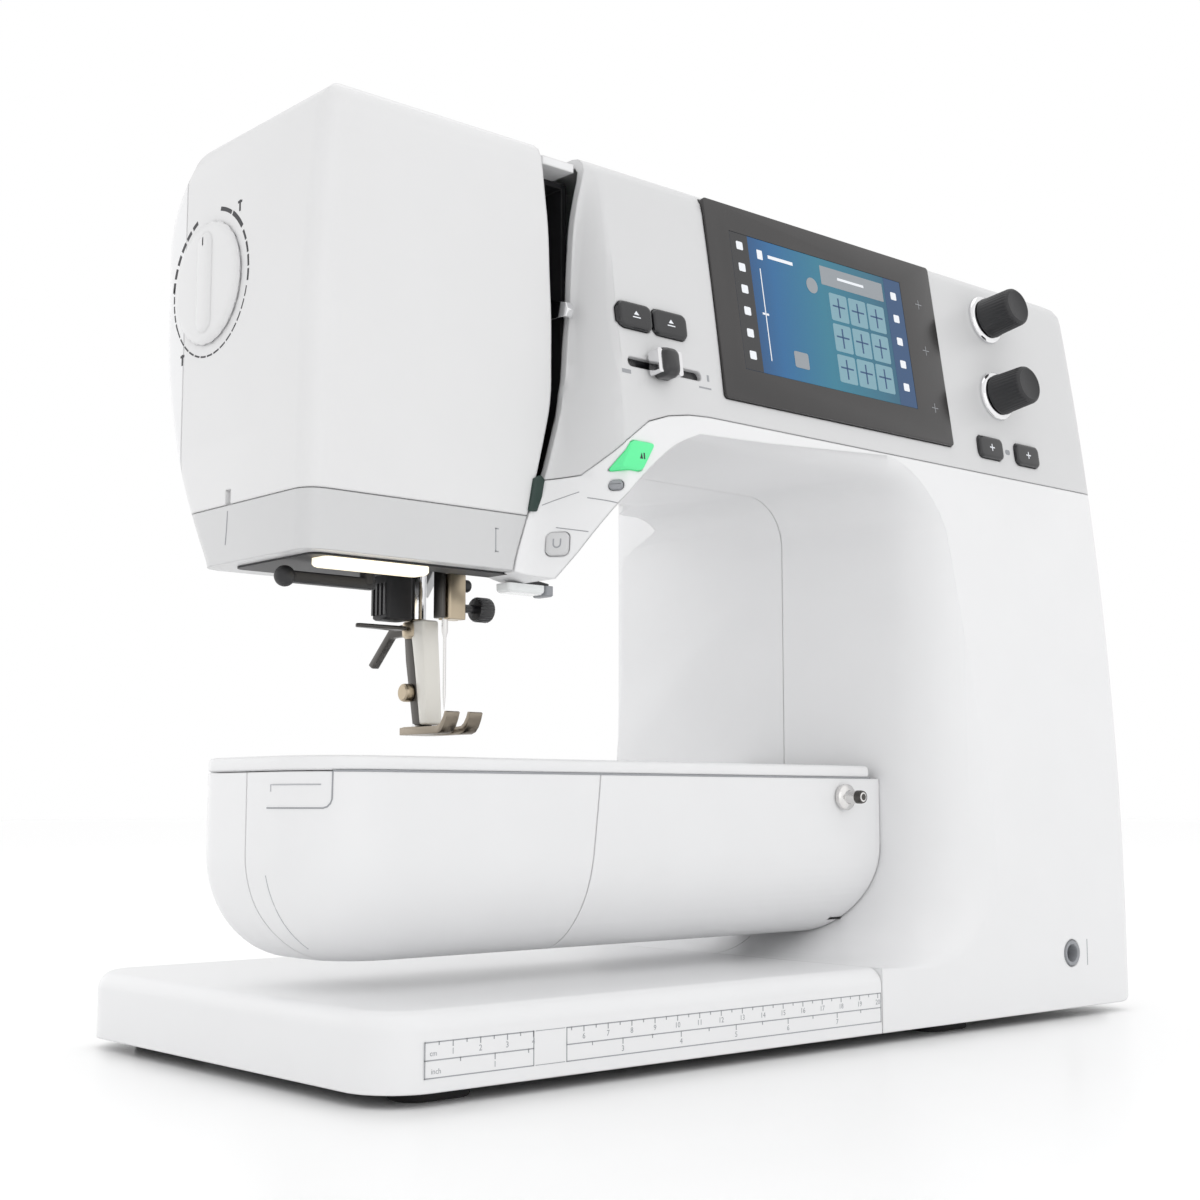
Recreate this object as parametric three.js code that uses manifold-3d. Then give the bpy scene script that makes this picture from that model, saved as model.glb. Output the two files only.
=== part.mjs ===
// Computerised free-arm sewing machine: housings, controls, presser foot and stitching mechanism.
// Millimetres. +Z is up, +X is the operator's right, +Y is the back of the machine.
// The origin is the middle of the footprint on the surface that the feet stand on.
import * as THREE from 'three';
import { mergeVertices } from 'three/addons/utils/BufferGeometryUtils.js';
import Module from 'manifold-3d';

const wasm = await Module();
wasm.setup();

// ---------------------------------------------------------------- driving dimensions
const GAP = 0.3; // clearance between neighbouring pieces
const WALL = 3; // thickness of the moulded housings
const ROUND = 20; // sides of an ordinary turned piece

const BODY = { left: -199, right: 192, top: 309.5, bottom: 4, front: -95, back: 95, armBack: 62 };
const BACK_BULGE = 1.9; // how far the pillar's back swells past the base
const PILLAR_INNER = 67.6; // face of the pillar towards the throat
const THROAT = { top: 214, cornerRadius: 20, footRadius: 43, flare: 34, topFlare: 14, left: -55 };
const BASE = { left: -193.2, right: 24.6, top: 27, bottom: 4, edge: 6, corner: 18 };
const PANEL_SEAM = 221; // joint between the control panel and the lower front housing
const HOUSING_SPLIT = -9; // front and rear housings meet in this plane below the panel
const TOP_SPLIT = -40; // and in this plane above it
const HEAD = { bottom: 163, stripTop: 182, coverBack: 20, corner: 7 };
const ARM = { left: -193, right: 67.3, front: -60, back: 17, bottom: 36, top: 96, bedTop: 101 };
const FLAP = { seam: -80, endSeam: -18 };
const NEEDLE = { x: -121, y: -25, tip: 118, barRadius: 3.3 };
const PRESSER = { x: -121, y: -8, barRadius: 3.5, soleBottom: 109.7 };
const SHAFT = { y: 10, z: 262, radius: 5 };
const MOTOR = { y: 10, z: 90, radius: 24 };
const TAKE_UP = { leverX: -100, leverY: -24, leverZ: 250 };
const HOOK = { y: -25, z: 72, radius: 18 };
const DIAL = { y: 3, z: 259, radius: 21, depth: 3.2 };

// ---------------------------------------------------------------- materials
const finish = (color, roughness, metalness = 0) =>
  new THREE.MeshStandardMaterial({ color, roughness, metalness });
const MATERIAL = {
  shell: finish(0xf1f2f4, 0.35),
  strip: finish(0xdcdde0, 0.4),
  black: finish(0x17181a, 0.3),
  rubber: finish(0x1c1c1e, 0.9),
  screen: finish(0x1f7fa6, 0.15),
  steel: finish(0xc8cacc, 0.25, 1),
  darkSteel: finish(0x3a3b3e, 0.35, 1),
  casting: finish(0x9fa3a8, 0.6, 0.7),
  brass: finish(0xb59a63, 0.35, 1),
  green: finish(0x63e6a0, 0.4),
  lens: finish(0xfff6da, 0.2),
  grey: finish(0x6f7378, 0.5),
};

// ---------------------------------------------------------------- scene helpers
const group = new THREE.Group();

function add(name, geometry, material, matrix) {
  const mesh = new THREE.Mesh(geometry, material);
  mesh.name = name;
  if (matrix) mesh.applyMatrix4(matrix);
  group.add(mesh);
}

function signedVolume(vertices, triangles) {
  let sum = 0;
  const [a, b, c] = [new THREE.Vector3(), new THREE.Vector3(), new THREE.Vector3()];
  for (let i = 0; i < triangles.length; i += 3) {
    a.fromArray(vertices, 3 * triangles[i]);
    b.fromArray(vertices, 3 * triangles[i + 1]);
    c.fromArray(vertices, 3 * triangles[i + 2]);
    sum += a.dot(b.cross(c));
  }
  return sum / 6;
}

// A closed geometry from flat lists, turned so that its faces point out.
function closedGeometry(vertices, triangles) {
  if (signedVolume(vertices, triangles) < 0) triangles.reverse();
  const geometry = new THREE.BufferGeometry();
  geometry.setAttribute('position', new THREE.Float32BufferAttribute(vertices, 3));
  geometry.setIndex(triangles);
  return geometry;
}

// Vertices are merged, and the triangles that this leaves without an area are dropped.
function toSolid(geometry) {
  const bare = geometry.clone();
  bare.deleteAttribute('normal');
  bare.deleteAttribute('uv');
  const merged = mergeVertices(bare, 1e-4);
  const corners = Array.from(merged.index.array);
  const kept = [];
  for (let i = 0; i < corners.length; i += 3) {
    const [a, b, c] = corners.slice(i, i + 3);
    if (a !== b && b !== c && c !== a) kept.push(a, b, c);
  }
  return new wasm.Manifold(new wasm.Mesh({
    numProp: 3,
    vertProperties: new Float32Array(merged.attributes.position.array),
    triVerts: new Uint32Array(kept),
  }));
}

function toGeometry(solid) {
  const mesh = solid.getMesh();
  const geometry = new THREE.BufferGeometry();
  geometry.setAttribute('position', new THREE.Float32BufferAttribute(mesh.vertProperties, 3));
  geometry.setIndex(Array.from(mesh.triVerts));
  return geometry;
}

// The biggest separate body of a solid, which drops slivers that a cut leaves behind.
const biggest = (solid) => solid.decompose().reduce((a, b) => (b.volume() > a.volume() ? b : a));

const join = (...geometries) => toGeometry(geometries.map(toSolid).reduce((sum, piece) => sum.add(piece)));
const cut = (geometry, ...tools) =>
  toGeometry(tools.map(toSolid).reduce((rest, tool) => rest.subtract(tool), toSolid(geometry)));
const common = (a, b) => toGeometry(toSolid(a).intersect(toSolid(b)));

// ---------------------------------------------------------------- shape helpers
const clamp = (t) => Math.min(1, Math.max(0, t));
const smooth = (t) => clamp(t) ** 2 * (3 - 2 * clamp(t));
const mix = (a, b, t) => a + (b - a) * t;

// Height lost at a distance from an edge that is rounded to a radius.
const edgeDrop = (distance, radius) =>
  distance >= radius ? 0 : radius - Math.sqrt(Math.max(0, radius ** 2 - (radius - distance) ** 2));

// Straight-line interpolation through [key, value] pairs with rising keys.
function along(pairs, key) {
  const last = pairs.length - 1;
  if (key <= pairs[0][0]) return pairs[0][1];
  for (let i = 0; i < last; i++) {
    const [[k0, v0], [k1, v1]] = [pairs[i], pairs[i + 1]];
    if (key <= k1) return mix(v0, v1, (key - k0) / (k1 - k0));
  }
  return pairs[last][1];
}

function box(x0, x1, y0, y1, z0, z1) {
  const geometry = new THREE.BoxGeometry(x1 - x0, y1 - y0, z1 - z0);
  return geometry.translate((x0 + x1) / 2, (y0 + y1) / 2, (z0 + z1) / 2);
}

// Cylinders along an axis, between two stations on it, at a place across it.
const tubeZ = (x, y, z0, z1, radius, sides = ROUND, topRadius = radius) =>
  new THREE.CylinderGeometry(topRadius, radius, z1 - z0, sides)
    .rotateX(Math.PI / 2).translate(x, y, (z0 + z1) / 2);
const tubeX = (x0, x1, y, z, radius, sides = ROUND) =>
  new THREE.CylinderGeometry(radius, radius, x1 - x0, sides)
    .rotateZ(Math.PI / 2).translate((x0 + x1) / 2, y, z);
const tubeY = (x, y0, y1, z, radius, sides = ROUND) =>
  new THREE.CylinderGeometry(radius, radius, y1 - y0, sides).translate(x, (y0 + y1) / 2, z);

// A skin through equal rings of [x, y, z] points, closed by a cap at each end.
function loft(rings) {
  const count = rings[0].length;
  const vertices = rings.flat(2);
  const triangles = [];
  for (let k = 0; k < rings.length - 1; k++) {
    for (let i = 0; i < count; i++) {
      const [a, b] = [k * count + i, k * count + ((i + 1) % count)];
      triangles.push(a, b, b + count, a, b + count, a + count);
    }
  }
  const spread = [0, 1, 2].map((axis) => {
    const values = rings[0].map((point) => point[axis]);
    return Math.max(...values) - Math.min(...values);
  });
  const [u, v] = [0, 1, 2].sort((p, q) => spread[q] - spread[p]).slice(0, 2);
  for (const k of [0, rings.length - 1]) {
    const contour = rings[k].map((point) => new THREE.Vector2(point[u], point[v]));
    const turn = THREE.ShapeUtils.area(contour) > 0;
    for (const [i, j, l] of THREE.ShapeUtils.triangulateShape(contour, [])) {
      const same = THREE.ShapeUtils.area([contour[i], contour[j], contour[l]]) > 0 === turn;
      const face = same === (k > 0) ? [i, j, l] : [i, l, j];
      triangles.push(...face.map((index) => k * count + index));
    }
  }
  return closedGeometry(vertices, triangles);
}

// Prisms from flat outlines: [x, y] along Z, [x, z] along Y and [y, z] along X.
const prismZ = (outline, z0, z1) => loft([z0, z1].map((z) => outline.map(([x, y]) => [x, y, z])));
const prismY = (outline, y0, y1) => loft([y0, y1].map((y) => outline.map(([x, z]) => [x, y, z])));
const prismX = (outline, x0, x1) => loft([x0, x1].map((x) => outline.map(([y, z]) => [x, y, z])));

function polar(cx, cy, radius, degrees) {
  const angle = THREE.MathUtils.degToRad(degrees);
  return [cx + radius * Math.cos(angle), cy + radius * Math.sin(angle)];
}

// Arc points round a centre, between two angles in degrees.
const arc = (cx, cy, radius, from, to, steps = 6) =>
  Array.from({ length: steps + 1 }, (_, i) => polar(cx, cy, radius, mix(from, to, i / steps)));

// Rounded rectangle; the radii go round from the corner at the lowest x and y.
function roundedRect(x0, x1, y0, y1, radii, steps = 4) {
  const [a, b, c, d] = Array.isArray(radii) ? radii : [radii, radii, radii, radii];
  return [
    ...arc(x0 + a, y0 + a, a, 180, 270, steps),
    ...arc(x1 - b, y0 + b, b, 270, 360, steps),
    ...arc(x1 - c, y1 - c, c, 0, 90, steps),
    ...arc(x0 + d, y1 - d, d, 90, 180, steps),
  ];
}

// A solid between a front and a back surface, both given as y over a grid of x and z.
function gridSolid(xs, zs, front, back) {
  const vertices = [];
  const triangles = [];
  const layer = xs.length * zs.length;
  const at = (side, i, j) => side * layer + j * xs.length + i;
  for (const surface of [front, back]) {
    for (const z of zs) for (const x of xs) vertices.push(x, surface(x, z), z);
  }
  const quad = (a, b, c, d) => triangles.push(a, b, c, a, c, d);
  for (let j = 0; j < zs.length - 1; j++) {
    for (let i = 0; i < xs.length - 1; i++) {
      quad(at(0, i, j), at(0, i + 1, j), at(0, i + 1, j + 1), at(0, i, j + 1));
      quad(at(1, i, j), at(1, i, j + 1), at(1, i + 1, j + 1), at(1, i + 1, j));
    }
  }
  const [right, top] = [xs.length - 1, zs.length - 1];
  for (let i = 0; i < right; i++) {
    quad(at(0, i, 0), at(1, i, 0), at(1, i + 1, 0), at(0, i + 1, 0));
    quad(at(0, i, top), at(0, i + 1, top), at(1, i + 1, top), at(1, i, top));
  }
  for (let j = 0; j < top; j++) {
    quad(at(0, 0, j), at(0, 0, j + 1), at(1, 0, j + 1), at(1, 0, j));
    quad(at(0, right, j), at(1, right, j), at(1, right, j + 1), at(0, right, j + 1));
  }
  return closedGeometry(vertices, triangles);
}

// ---------------------------------------------------------------- surfaces of the body
// The pillar and panel lean back along a shallow parabola, and the head is nearly upright.
const panelY = (z) => BODY.front + 0.00032 * Math.max(0, z - 30) ** 2;
const headY = (z) => -60 - 10 * clamp((z - 186) / 123.5) ** 3;

// Borders of the threading slot, and the outline of the head's back, by height.
const SLOT_RIGHT = [[163, -119], [185.5, -111.6], [195, -105.5], [209, -101.5], [222, -99], [236, -96.8],
  [255, -96], [286, -97.5], [310, -95]];
const SLOT_LEFT = [[163, -119.8], [185.5, -112], [205, -107], [223, -103], [251, -104], [281, -108],
  [308, -115.7]];
const HEAD_BACK = [[162, 4], [169, 9.5], [190, 22], [205, 28.5], [223, 34], [240, 37], [260, 37], [285, 37.5],
  [304, 35]];
const slotRight = (z) => along(SLOT_RIGHT, z);
const slotLeft = (z) => along(SLOT_LEFT, z);

// Front of the whole upper body: the head's plane steps forward to the panel's right of the slot.
function frontY(x, z, inset = 0) {
  const stepWidth = mix(28, 7, clamp((z - 163) / 58));
  const step = smooth((x - slotRight(z)) / stepWidth);
  return mix(headY(z), panelY(z), step) + inset
    + edgeDrop(x - BODY.left - inset, HEAD.corner - inset)
    + edgeDrop(BODY.right - inset - x, 10 - inset)
    + edgeDrop(BODY.top - inset - z, 8 - inset);
}

function backY(x, z, inset = 0) {
  const head = along(HEAD_BACK, z);
  const reach = Math.max(smooth((z - 212) / 8), smooth((x - 20) / 20));
  const arm = mix(head, BODY.armBack, smooth((x + 180) / 50) * reach);
  const pillar = BODY.back + BACK_BULGE * smooth((z - 30) / 40);
  const merge = mix(1, smooth((x - 60) / 10), smooth((z - 90) / 60));
  return mix(arm, pillar, merge) - inset
    - edgeDrop(x - BODY.left - inset, 8 - inset)
    - edgeDrop(BODY.right - inset - x, 18 - inset)
    - edgeDrop(BODY.top - inset - z, mix(34, 14, smooth((x + 195) / 70)) - inset);
}

// Outline of pillar, arm and head from the front. A positive inset gives the hollow inside,
// which runs out through the open bottom.
function silhouette(inset) {
  const floor = inset ? -10 : BODY.bottom;
  const left = inset ? 10 : BASE.right;
  const slant = [[-108.4, 160.2, -0.6, 0.8], [-104.4, 167.3, -0.87, 0.5], [-97.7, 180.5, -0.87, 0.5],
    [-93, 187.5, -0.77, 0.64], [-86, 194.3, -0.68, 0.73], [-76.5, 202.3, -0.6, 0.8],
    [-67, 209.2, -0.5, 0.87], [THROAT.left, THROAT.top, 0, 1]];
  const topCorner = 18 - inset;
  const baseCorner = 12 - inset;
  const [right, top] = [BODY.right - inset, BODY.top - inset];
  const headCorner = 8 - inset;
  return [
    [left, floor],
    ...(inset ? [[right, floor]] : arc(right - baseCorner, floor + baseCorner, baseCorner, 270, 360, 3)),
    ...arc(right - topCorner, top - topCorner, topCorner, 0, 90, 4),
    ...arc(BODY.left + inset + headCorner, top - headCorner, headCorner, 90, 180, 3),
    [BODY.left + inset, HEAD.bottom + inset],
    [-120, HEAD.bottom + inset],
    ...slant.map(([x, z, nx, nz]) => [x + inset * nx, z + inset * nz]),
    ...arc(PILLAR_INNER - THROAT.cornerRadius, THROAT.top - THROAT.cornerRadius,
      THROAT.cornerRadius + inset, 90, 0, 5),
    ...arc(BASE.right, BASE.top + THROAT.footRadius, THROAT.footRadius + inset, 0, -90, 6),
    ...(inset ? [[left, BASE.top - inset]] : []),
  ];
}

// Cutter that opens the throat towards the front, so that the pillar and arm have round edges.
function throatFlare(inset) {
  const rings = [];
  for (const angle of [0, 15, 30, 45, 60, 75, 90]) {
    const turn = THREE.MathUtils.degToRad(angle);
    const y = -60 - (THROAT.flare + 1) * Math.sin(turn) + inset * 0.7;
    const side = THROAT.flare * (1 - Math.cos(turn)) + inset;
    const lid = edgeDrop(y + 84 + THROAT.topFlare - 12 - inset * 0.7, THROAT.topFlare) + inset;
    const flared = (degrees) => side * Math.cos(THREE.MathUtils.degToRad(degrees)) ** 2;
    rings.push([
      [THROAT.left, BASE.top],
      ...[-90, -72, -54, -36, -18, 0].map((degrees) => polar(BASE.right, BASE.top + THROAT.footRadius,
        THROAT.footRadius + flared(degrees), degrees)),
      ...arc(PILLAR_INNER - THROAT.cornerRadius, THROAT.top - THROAT.cornerRadius,
        THROAT.cornerRadius + 0.01, 0, 90, 4)
        .map(([x, z], i) => [x + side * (1 - i / 4), z + lid * (i / 4)]),
      [THROAT.left, THROAT.top + inset],
    ].map(([x, z]) => [x, y, z]));
  }
  return loft(rings);
}

// The whole body, solid, drawn in by an inset.
function bodySolid(inset) {
  const xs = [0, 0.5, 2, 7, 18, 34, 51, 68, 80].map((step) => BODY.left + inset + step)
    .concat([-113, -107, -102, -98, -95, -91, -87, -78, -66, -20, 24.6, 45, 60, 63, 66, 70, 75])
    .concat([18, 10, 5, 2, 0.5, 0].map((step) => BODY.right - inset - step));
  const zs = [inset ? -10 : BODY.bottom, 30, 50, 90, 130, 149, 163, 176, 189, 200, 211, 214, 217, 221, 236,
    251, 266, 281, 293, 299, 303].concat([3, 1, 0].map((step) => BODY.top - inset - step));
  const body = gridSolid(xs, zs, (x, z) => frontY(x, z, inset), (x, z) => backY(x, z, inset));
  return cut(common(body, prismY(silhouette(inset), -130, 130)), throatFlare(inset));
}

// Frame on the body's front at x and z: local Z points out of the surface, local Y up it.
function surfaceFrame(x, z) {
  const step = 0.5;
  const slopeX = (frontY(x + step, z) - frontY(x - step, z)) / (2 * step);
  const slopeZ = (frontY(x, z + step) - frontY(x, z - step)) / (2 * step);
  const normal = new THREE.Vector3(slopeX, -1, slopeZ).normalize();
  const across = new THREE.Vector3(1, slopeX, 0).normalize();
  const up = new THREE.Vector3().crossVectors(normal, across);
  return new THREE.Matrix4().makeBasis(across, up, normal).setPosition(x, frontY(x, z), z);
}

// ---------------------------------------------------------------- controls on the front
// Each control is [name, x, z, half width, half height, corner radius].
const BUTTONS = [
  ['button_needle_stop', -82.2, 252, 7.6, 4.7, 2.6],
  ['button_securing', -65.8, 252, 8, 4.7, 2.6],
  ['button_pattern_begin', 115.5, 232.5, 8, 4.6, 2.4],
  ['button_pattern_end', 141, 232.5, 8, 4.6, 2.4],
];
const BUTTON = { proud: 1.6, depth: 6 };
const KEY = { proud: 1, depth: 2.4, hole: 3.1 };
const START = { x: -86, z: 202 };
const OVAL = { x: -94.1, z: 191.5 };
const REVERSE = { x: -107, z: 172 };
const KNOBS = [['knob_upper', 126, 290.5], ['knob_lower', 125, 256.3]];
const KNOB = { radius: 8.3, base: 2.8, length: 17.6, stem: 3 };
const DISPLAY = { x: 24.4, z: 268, width: 131, height: 77.6, depth: 4, proud: 0.8 };
const SCREEN = { x: -4.3, y: 1, width: 98.2, height: 54, depth: 1.5 };
const SLIDER = { x: -72.8, z: 235.5, left: -87, right: -52, slot: 3.6 };

function buttonPrism(halfWidth, halfHeight, corner, z0, z1) {
  return prismZ(roundedRect(-halfWidth, halfWidth, -halfHeight, halfHeight, corner, 3), z0, z1);
}

// Slanted four-sided key of the start and stop switch.
function startOutline(grow = 0) {
  return [[-8.8 - 2 * grow, -4.9 - grow], [0.6 + grow * 0.6, -5.2 - grow], [7.6 + 1.6 * grow, 5.2 + grow],
    [-2.6 - grow * 0.6, 5.2 + grow]];
}

function controlOpenings() {
  const placed = (geometry, x, z) => geometry.applyMatrix4(surfaceFrame(x, z));
  const holes = BUTTONS.map(([, x, z, w, h, r]) => placed(buttonPrism(w + GAP, h + GAP, r, -9, 9), x, z));
  for (const [, x, z] of KNOBS) holes.push(placed(tubeZ(0, 0, -9, 9, KNOB.stem + GAP, 16), x, z));
  const [w, h] = [DISPLAY.width / 2 + GAP, DISPLAY.height / 2 + GAP];
  holes.push(placed(box(-w, w, -h, h, -12, 12), DISPLAY.x, DISPLAY.z));
  const [left, right] = [SLIDER.left - SLIDER.x, SLIDER.right - SLIDER.x];
  holes.push(placed(box(left, right, -SLIDER.slot / 2, SLIDER.slot / 2, -9, 9), SLIDER.x, SLIDER.z));
  return holes;
}

function lowerOpenings() {
  const placed = (geometry, x, z) => geometry.applyMatrix4(surfaceFrame(x, z));
  return [
    placed(prismZ(startOutline(GAP), -9, 9), START.x, START.z),
    placed(buttonPrism(2.4 + GAP, 1.7 + GAP, 1.5, -KEY.hole, 9), OVAL.x, OVAL.z),
    placed(buttonPrism(4 + GAP, 4 + GAP, 2, -KEY.hole, 9), REVERSE.x, REVERSE.z),
  ];
}

function addControls() {
  for (const [name, x, z, w, h, r] of BUTTONS) {
    add(name, buttonPrism(w, h, r, -BUTTON.depth, BUTTON.proud), MATERIAL.black, surfaceFrame(x, z));
  }
  for (const [name, x, z] of KNOBS) {
    const profile = [[0, -8], [KNOB.stem, -8], [KNOB.stem, KNOB.base], [KNOB.radius + 0.4, KNOB.base],
      [KNOB.radius - 0.3, KNOB.length - 1.5], [KNOB.radius - 1.3, KNOB.length], [0, KNOB.length]];
    const knob = new THREE.LatheGeometry(profile.map(([r, y]) => new THREE.Vector2(r, y)), 24);
    add(name, toGeometry(toSolid(knob.rotateX(Math.PI / 2))), MATERIAL.black, surfaceFrame(x, z));
  }
  add('button_start_stop', prismZ(startOutline(), -BUTTON.depth, 1.2), MATERIAL.green,
    surfaceFrame(START.x, START.z));
  add('button_oval', buttonPrism(2.4, 1.7, 1.5, -KEY.depth, KEY.proud), MATERIAL.grey,
    surfaceFrame(OVAL.x, OVAL.z));
  add('button_reverse', buttonPrism(4, 4, 2, -KEY.depth, KEY.proud), MATERIAL.shell,
    surfaceFrame(REVERSE.x, REVERSE.z));
  const slider = join(box(-1.6, 1.6, -1.5, 1.5, -8, 2),
    prismZ(roundedRect(-4.2, 4.2, -5.2, 5.2, 2.5, 3), 1.2, 8));
  add('speed_slider', slider, MATERIAL.black, surfaceFrame(SLIDER.x, SLIDER.z));
  const [w, h] = [DISPLAY.width / 2, DISPLAY.height / 2];
  const [sw, sh] = [SCREEN.width / 2, SCREEN.height / 2];
  const pocket = box(SCREEN.x - sw - GAP, SCREEN.x + sw + GAP, SCREEN.y - sh - GAP, SCREEN.y + sh + GAP,
    DISPLAY.proud - SCREEN.depth - GAP, 5);
  const bezel = cut(box(-w, w, -h, h, DISPLAY.proud - DISPLAY.depth, DISPLAY.proud), pocket);
  add('display_bezel', bezel, MATERIAL.black, surfaceFrame(DISPLAY.x, DISPLAY.z));
  add('display_screen', box(SCREEN.x - sw, SCREEN.x + sw, SCREEN.y - sh, SCREEN.y + sh,
    DISPLAY.proud - SCREEN.depth, DISPLAY.proud), MATERIAL.screen, surfaceFrame(DISPLAY.x, DISPLAY.z));
}

// ---------------------------------------------------------------- housings
const SOCKET = { x: 144.5, z: 25.9, radius: 5.2, bore: 3.3 };
const INLET = { y0: 50, y1: 80, z0: 34, z1: 58 };
const SWITCH = { y0: 56, y1: 74, z0: 74, z1: 96 };
const LID = { x0: -100, x1: 60, y0: -30, y1: 10 };
const WINDER = { x: 165, y: 47, travel: 4 };
const HANDLE = { x0: -64, x1: 84, front: 14, bar: 9, pivotY: 51, pivotZ: 313.4, half: 3.15 };
const LUG = { gap: 0.6, width: 6.4, y0: 47, y1: 55, top: 316.5 };

// Way through the walls for the free arm's beam and shaft, where arm and pillar meet.
const armPort = () => box(50, 75, ARM.front + 12, ARM.back - 6, 41, 92);

const borderLine = (pairs, offset) => pairs.map(([z, x]) => [x + offset, z]);

function addBodyHousings() {
  const shell = toSolid(bodySolid(0)).subtract(toSolid(bodySolid(WALL)));
  const half = GAP / 2;
  const take = (...tools) => tools.map(toSolid).reduce((sum, tool) => sum.add(tool)).intersect(shell);
  const trim = (solid, tools) =>
    toGeometry(biggest(tools.map(toSolid).reduce((rest, tool) => rest.subtract(tool), solid)));

  const seam = [[-105.5, 195], [-98.5, 196], [-95.4, 200], [-90.5, 207], [-79.6, 215.2], [-70, 218.5],
    [-60, 220.3], [-50, PANEL_SEAM], [200, PANEL_SEAM]];
  const panelBorder = borderLine(SLOT_RIGHT.filter(([z]) => z > 195), 0).reverse();
  const panelRegion = prismY(
    [...seam.map(([x, z]) => [x, z + half]), [200, 330], [-95, 330], ...panelBorder], -130, TOP_SPLIT - half);
  add('front_panel', trim(take(panelRegion), [...controlOpenings(), ...lowerOpenings()]), MATERIAL.shell);

  const lowerBorder = borderLine(SLOT_RIGHT.filter(([z]) => z < 195), 0);
  const lowerRegion = prismY([...lowerBorder, ...seam.map(([x, z]) => [x, z - half]), [200, -20], [10, -20],
    [10, 140], [-119, 140]], -130, HOUSING_SPLIT - half);
  const needleWell = box(-147, -101, -44, 2.5, 150, 170);
  const socketHole = tubeY(SOCKET.x, -110, -70, SOCKET.z, SOCKET.radius + GAP);
  add('front_housing', trim(take(lowerRegion), [...lowerOpenings(), needleWell, armPort(), socketHole]),
    MATERIAL.shell);

  const headEdge = borderLine(SLOT_LEFT, 0);
  const headFront = prismY([[-220, 330], [-220, 150], ...headEdge, [-115.7, 330]], -130, TOP_SPLIT);
  const headLeft = [box(-220, -115.7, -60, HEAD.coverBack, 186, 330),
    box(-220, -121, -60, HEAD.coverBack, 150, 186.1),
    box(-220, -115.7, HOUSING_SPLIT, HEAD.coverBack, 150, 186.1)];
  const above = (z) => box(-230, -90, -130, 60, z, 340);
  const below = (z) => box(-230, -90, -130, 60, 140, z);
  const head = take(headFront, ...headLeft);
  const dialHole = tubeX(-210, -190, DIAL.y, DIAL.z, 4 + GAP, 16);
  const cutterNotch = box(-210, -197, -14, -11, 180, 187);
  add('head_cover', trim(head.intersect(toSolid(above(HEAD.stripTop + half))), [dialHole, cutterNotch]),
    MATERIAL.shell);
  const threaderHole = tubeZ(-160, -35, 150, 180, 2.5 + GAP, 12);
  const strip = head.intersect(toSolid(below(HEAD.stripTop - half)));
  add('head_lower_strip', trim(strip, [needleWell, threaderHole]), MATERIAL.strip);

  const rear = trim(shell, [
    box(-230, -115.4, -130, HEAD.coverBack + GAP, 140, 340),
    box(-115.6, 210, -130, HOUSING_SPLIT + half, -20, PANEL_SEAM + half),
    box(-115.6, 210, -130, TOP_SPLIT + half, PANEL_SEAM - half, 340),
    needleWell, armPort(),
    box(-105.5, -90.5, 0.4, 30, 150, 191), // way out for the presser lifter
    tubeX(180, 200, SHAFT.y, SHAFT.z, SHAFT.radius + GAP),
    box(180, 200, INLET.y0 - GAP, INLET.y1 + GAP, INLET.z0 - GAP, INLET.z1 + GAP),
    box(180, 200, SWITCH.y0 - GAP, SWITCH.y1 + GAP, SWITCH.z0 - GAP, SWITCH.z1 + GAP),
    box(LID.x0 - GAP, LID.x1 + GAP, LID.y0 - GAP, LID.y1 + GAP, 300, 320),
    box(WINDER.x - WINDER.travel - 2.6, WINDER.x + 2.6, WINDER.y - 2.6, WINDER.y + 2.6, 300, 320),
    box(100, 150, 70, 110, 245, 251), box(100, 150, 70, 110, 257, 263), box(100, 150, 70, 110, 269, 275),
  ]);
  const lug = (x) => box(x, x + LUG.width, LUG.y0, LUG.y1, 300, LUG.top);
  const lugs = [lug(HANDLE.x0 - LUG.gap - LUG.width), lug(HANDLE.x1 + LUG.gap)]; // hold the handle
  add('rear_housing', join(rear, ...lugs), MATERIAL.shell);
  add('top_cover', box(LID.x0, LID.x1, LID.y0, LID.y1, BODY.top - WALL, BODY.top), MATERIAL.shell);
}

// Slab under the free arm: rings of a rounded rectangle, drawn in towards the top edge.
function slab(inset, bottom) {
  const levels = [[bottom, 0], [21, 0], [23.5, 0.8], [25.8, 2.6], [BASE.top, BASE.edge]];
  return loft(levels.map(([z, draw]) => {
    const drawn = draw + inset;
    const corner = Math.max(4, BASE.corner - drawn);
    const right = BASE.right - GAP + (inset ? 10 : 0);
    const height = z - (inset && z > 20 ? inset : 0);
    return roundedRect(BASE.left + drawn, right, BODY.front + drawn, BODY.back - drawn,
      [corner, 0.5, 0.5, corner], 5).map(([x, y]) => [x, y, height]);
  }));
}

function addBase() {
  add('base_cover', cut(slab(0, BASE.bottom), slab(2.5, -5)), MATERIAL.shell);
  const plate = roundedRect(BASE.left + 3.5, BODY.right - 4, BODY.front + 3.5, BODY.back - 3.5, 18, 4);
  add('base_plate', prismZ(plate, BASE.bottom, BASE.bottom + 2.5), MATERIAL.grey);
  const feet = { foot_front_left: [-165, -79], foot_front_right: [76, -79],
    foot_rear_left: [-165, 79], foot_rear_right: [165, 79] };
  for (const [name, [x, y]] of Object.entries(feet)) {
    const foot = roundedRect(x - 13, x + 13, y - 8, y + 8, 7.8, 4);
    add(name, prismZ(foot, 0, BASE.bottom - GAP), MATERIAL.rubber);
  }
  const socket = cut(tubeY(SOCKET.x, -95.6, -72, SOCKET.z, SOCKET.radius),
    tubeY(SOCKET.x, -100, -75, SOCKET.z, SOCKET.bore, 16));
  add('knee_lift_socket', socket, MATERIAL.grey);
}

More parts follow.
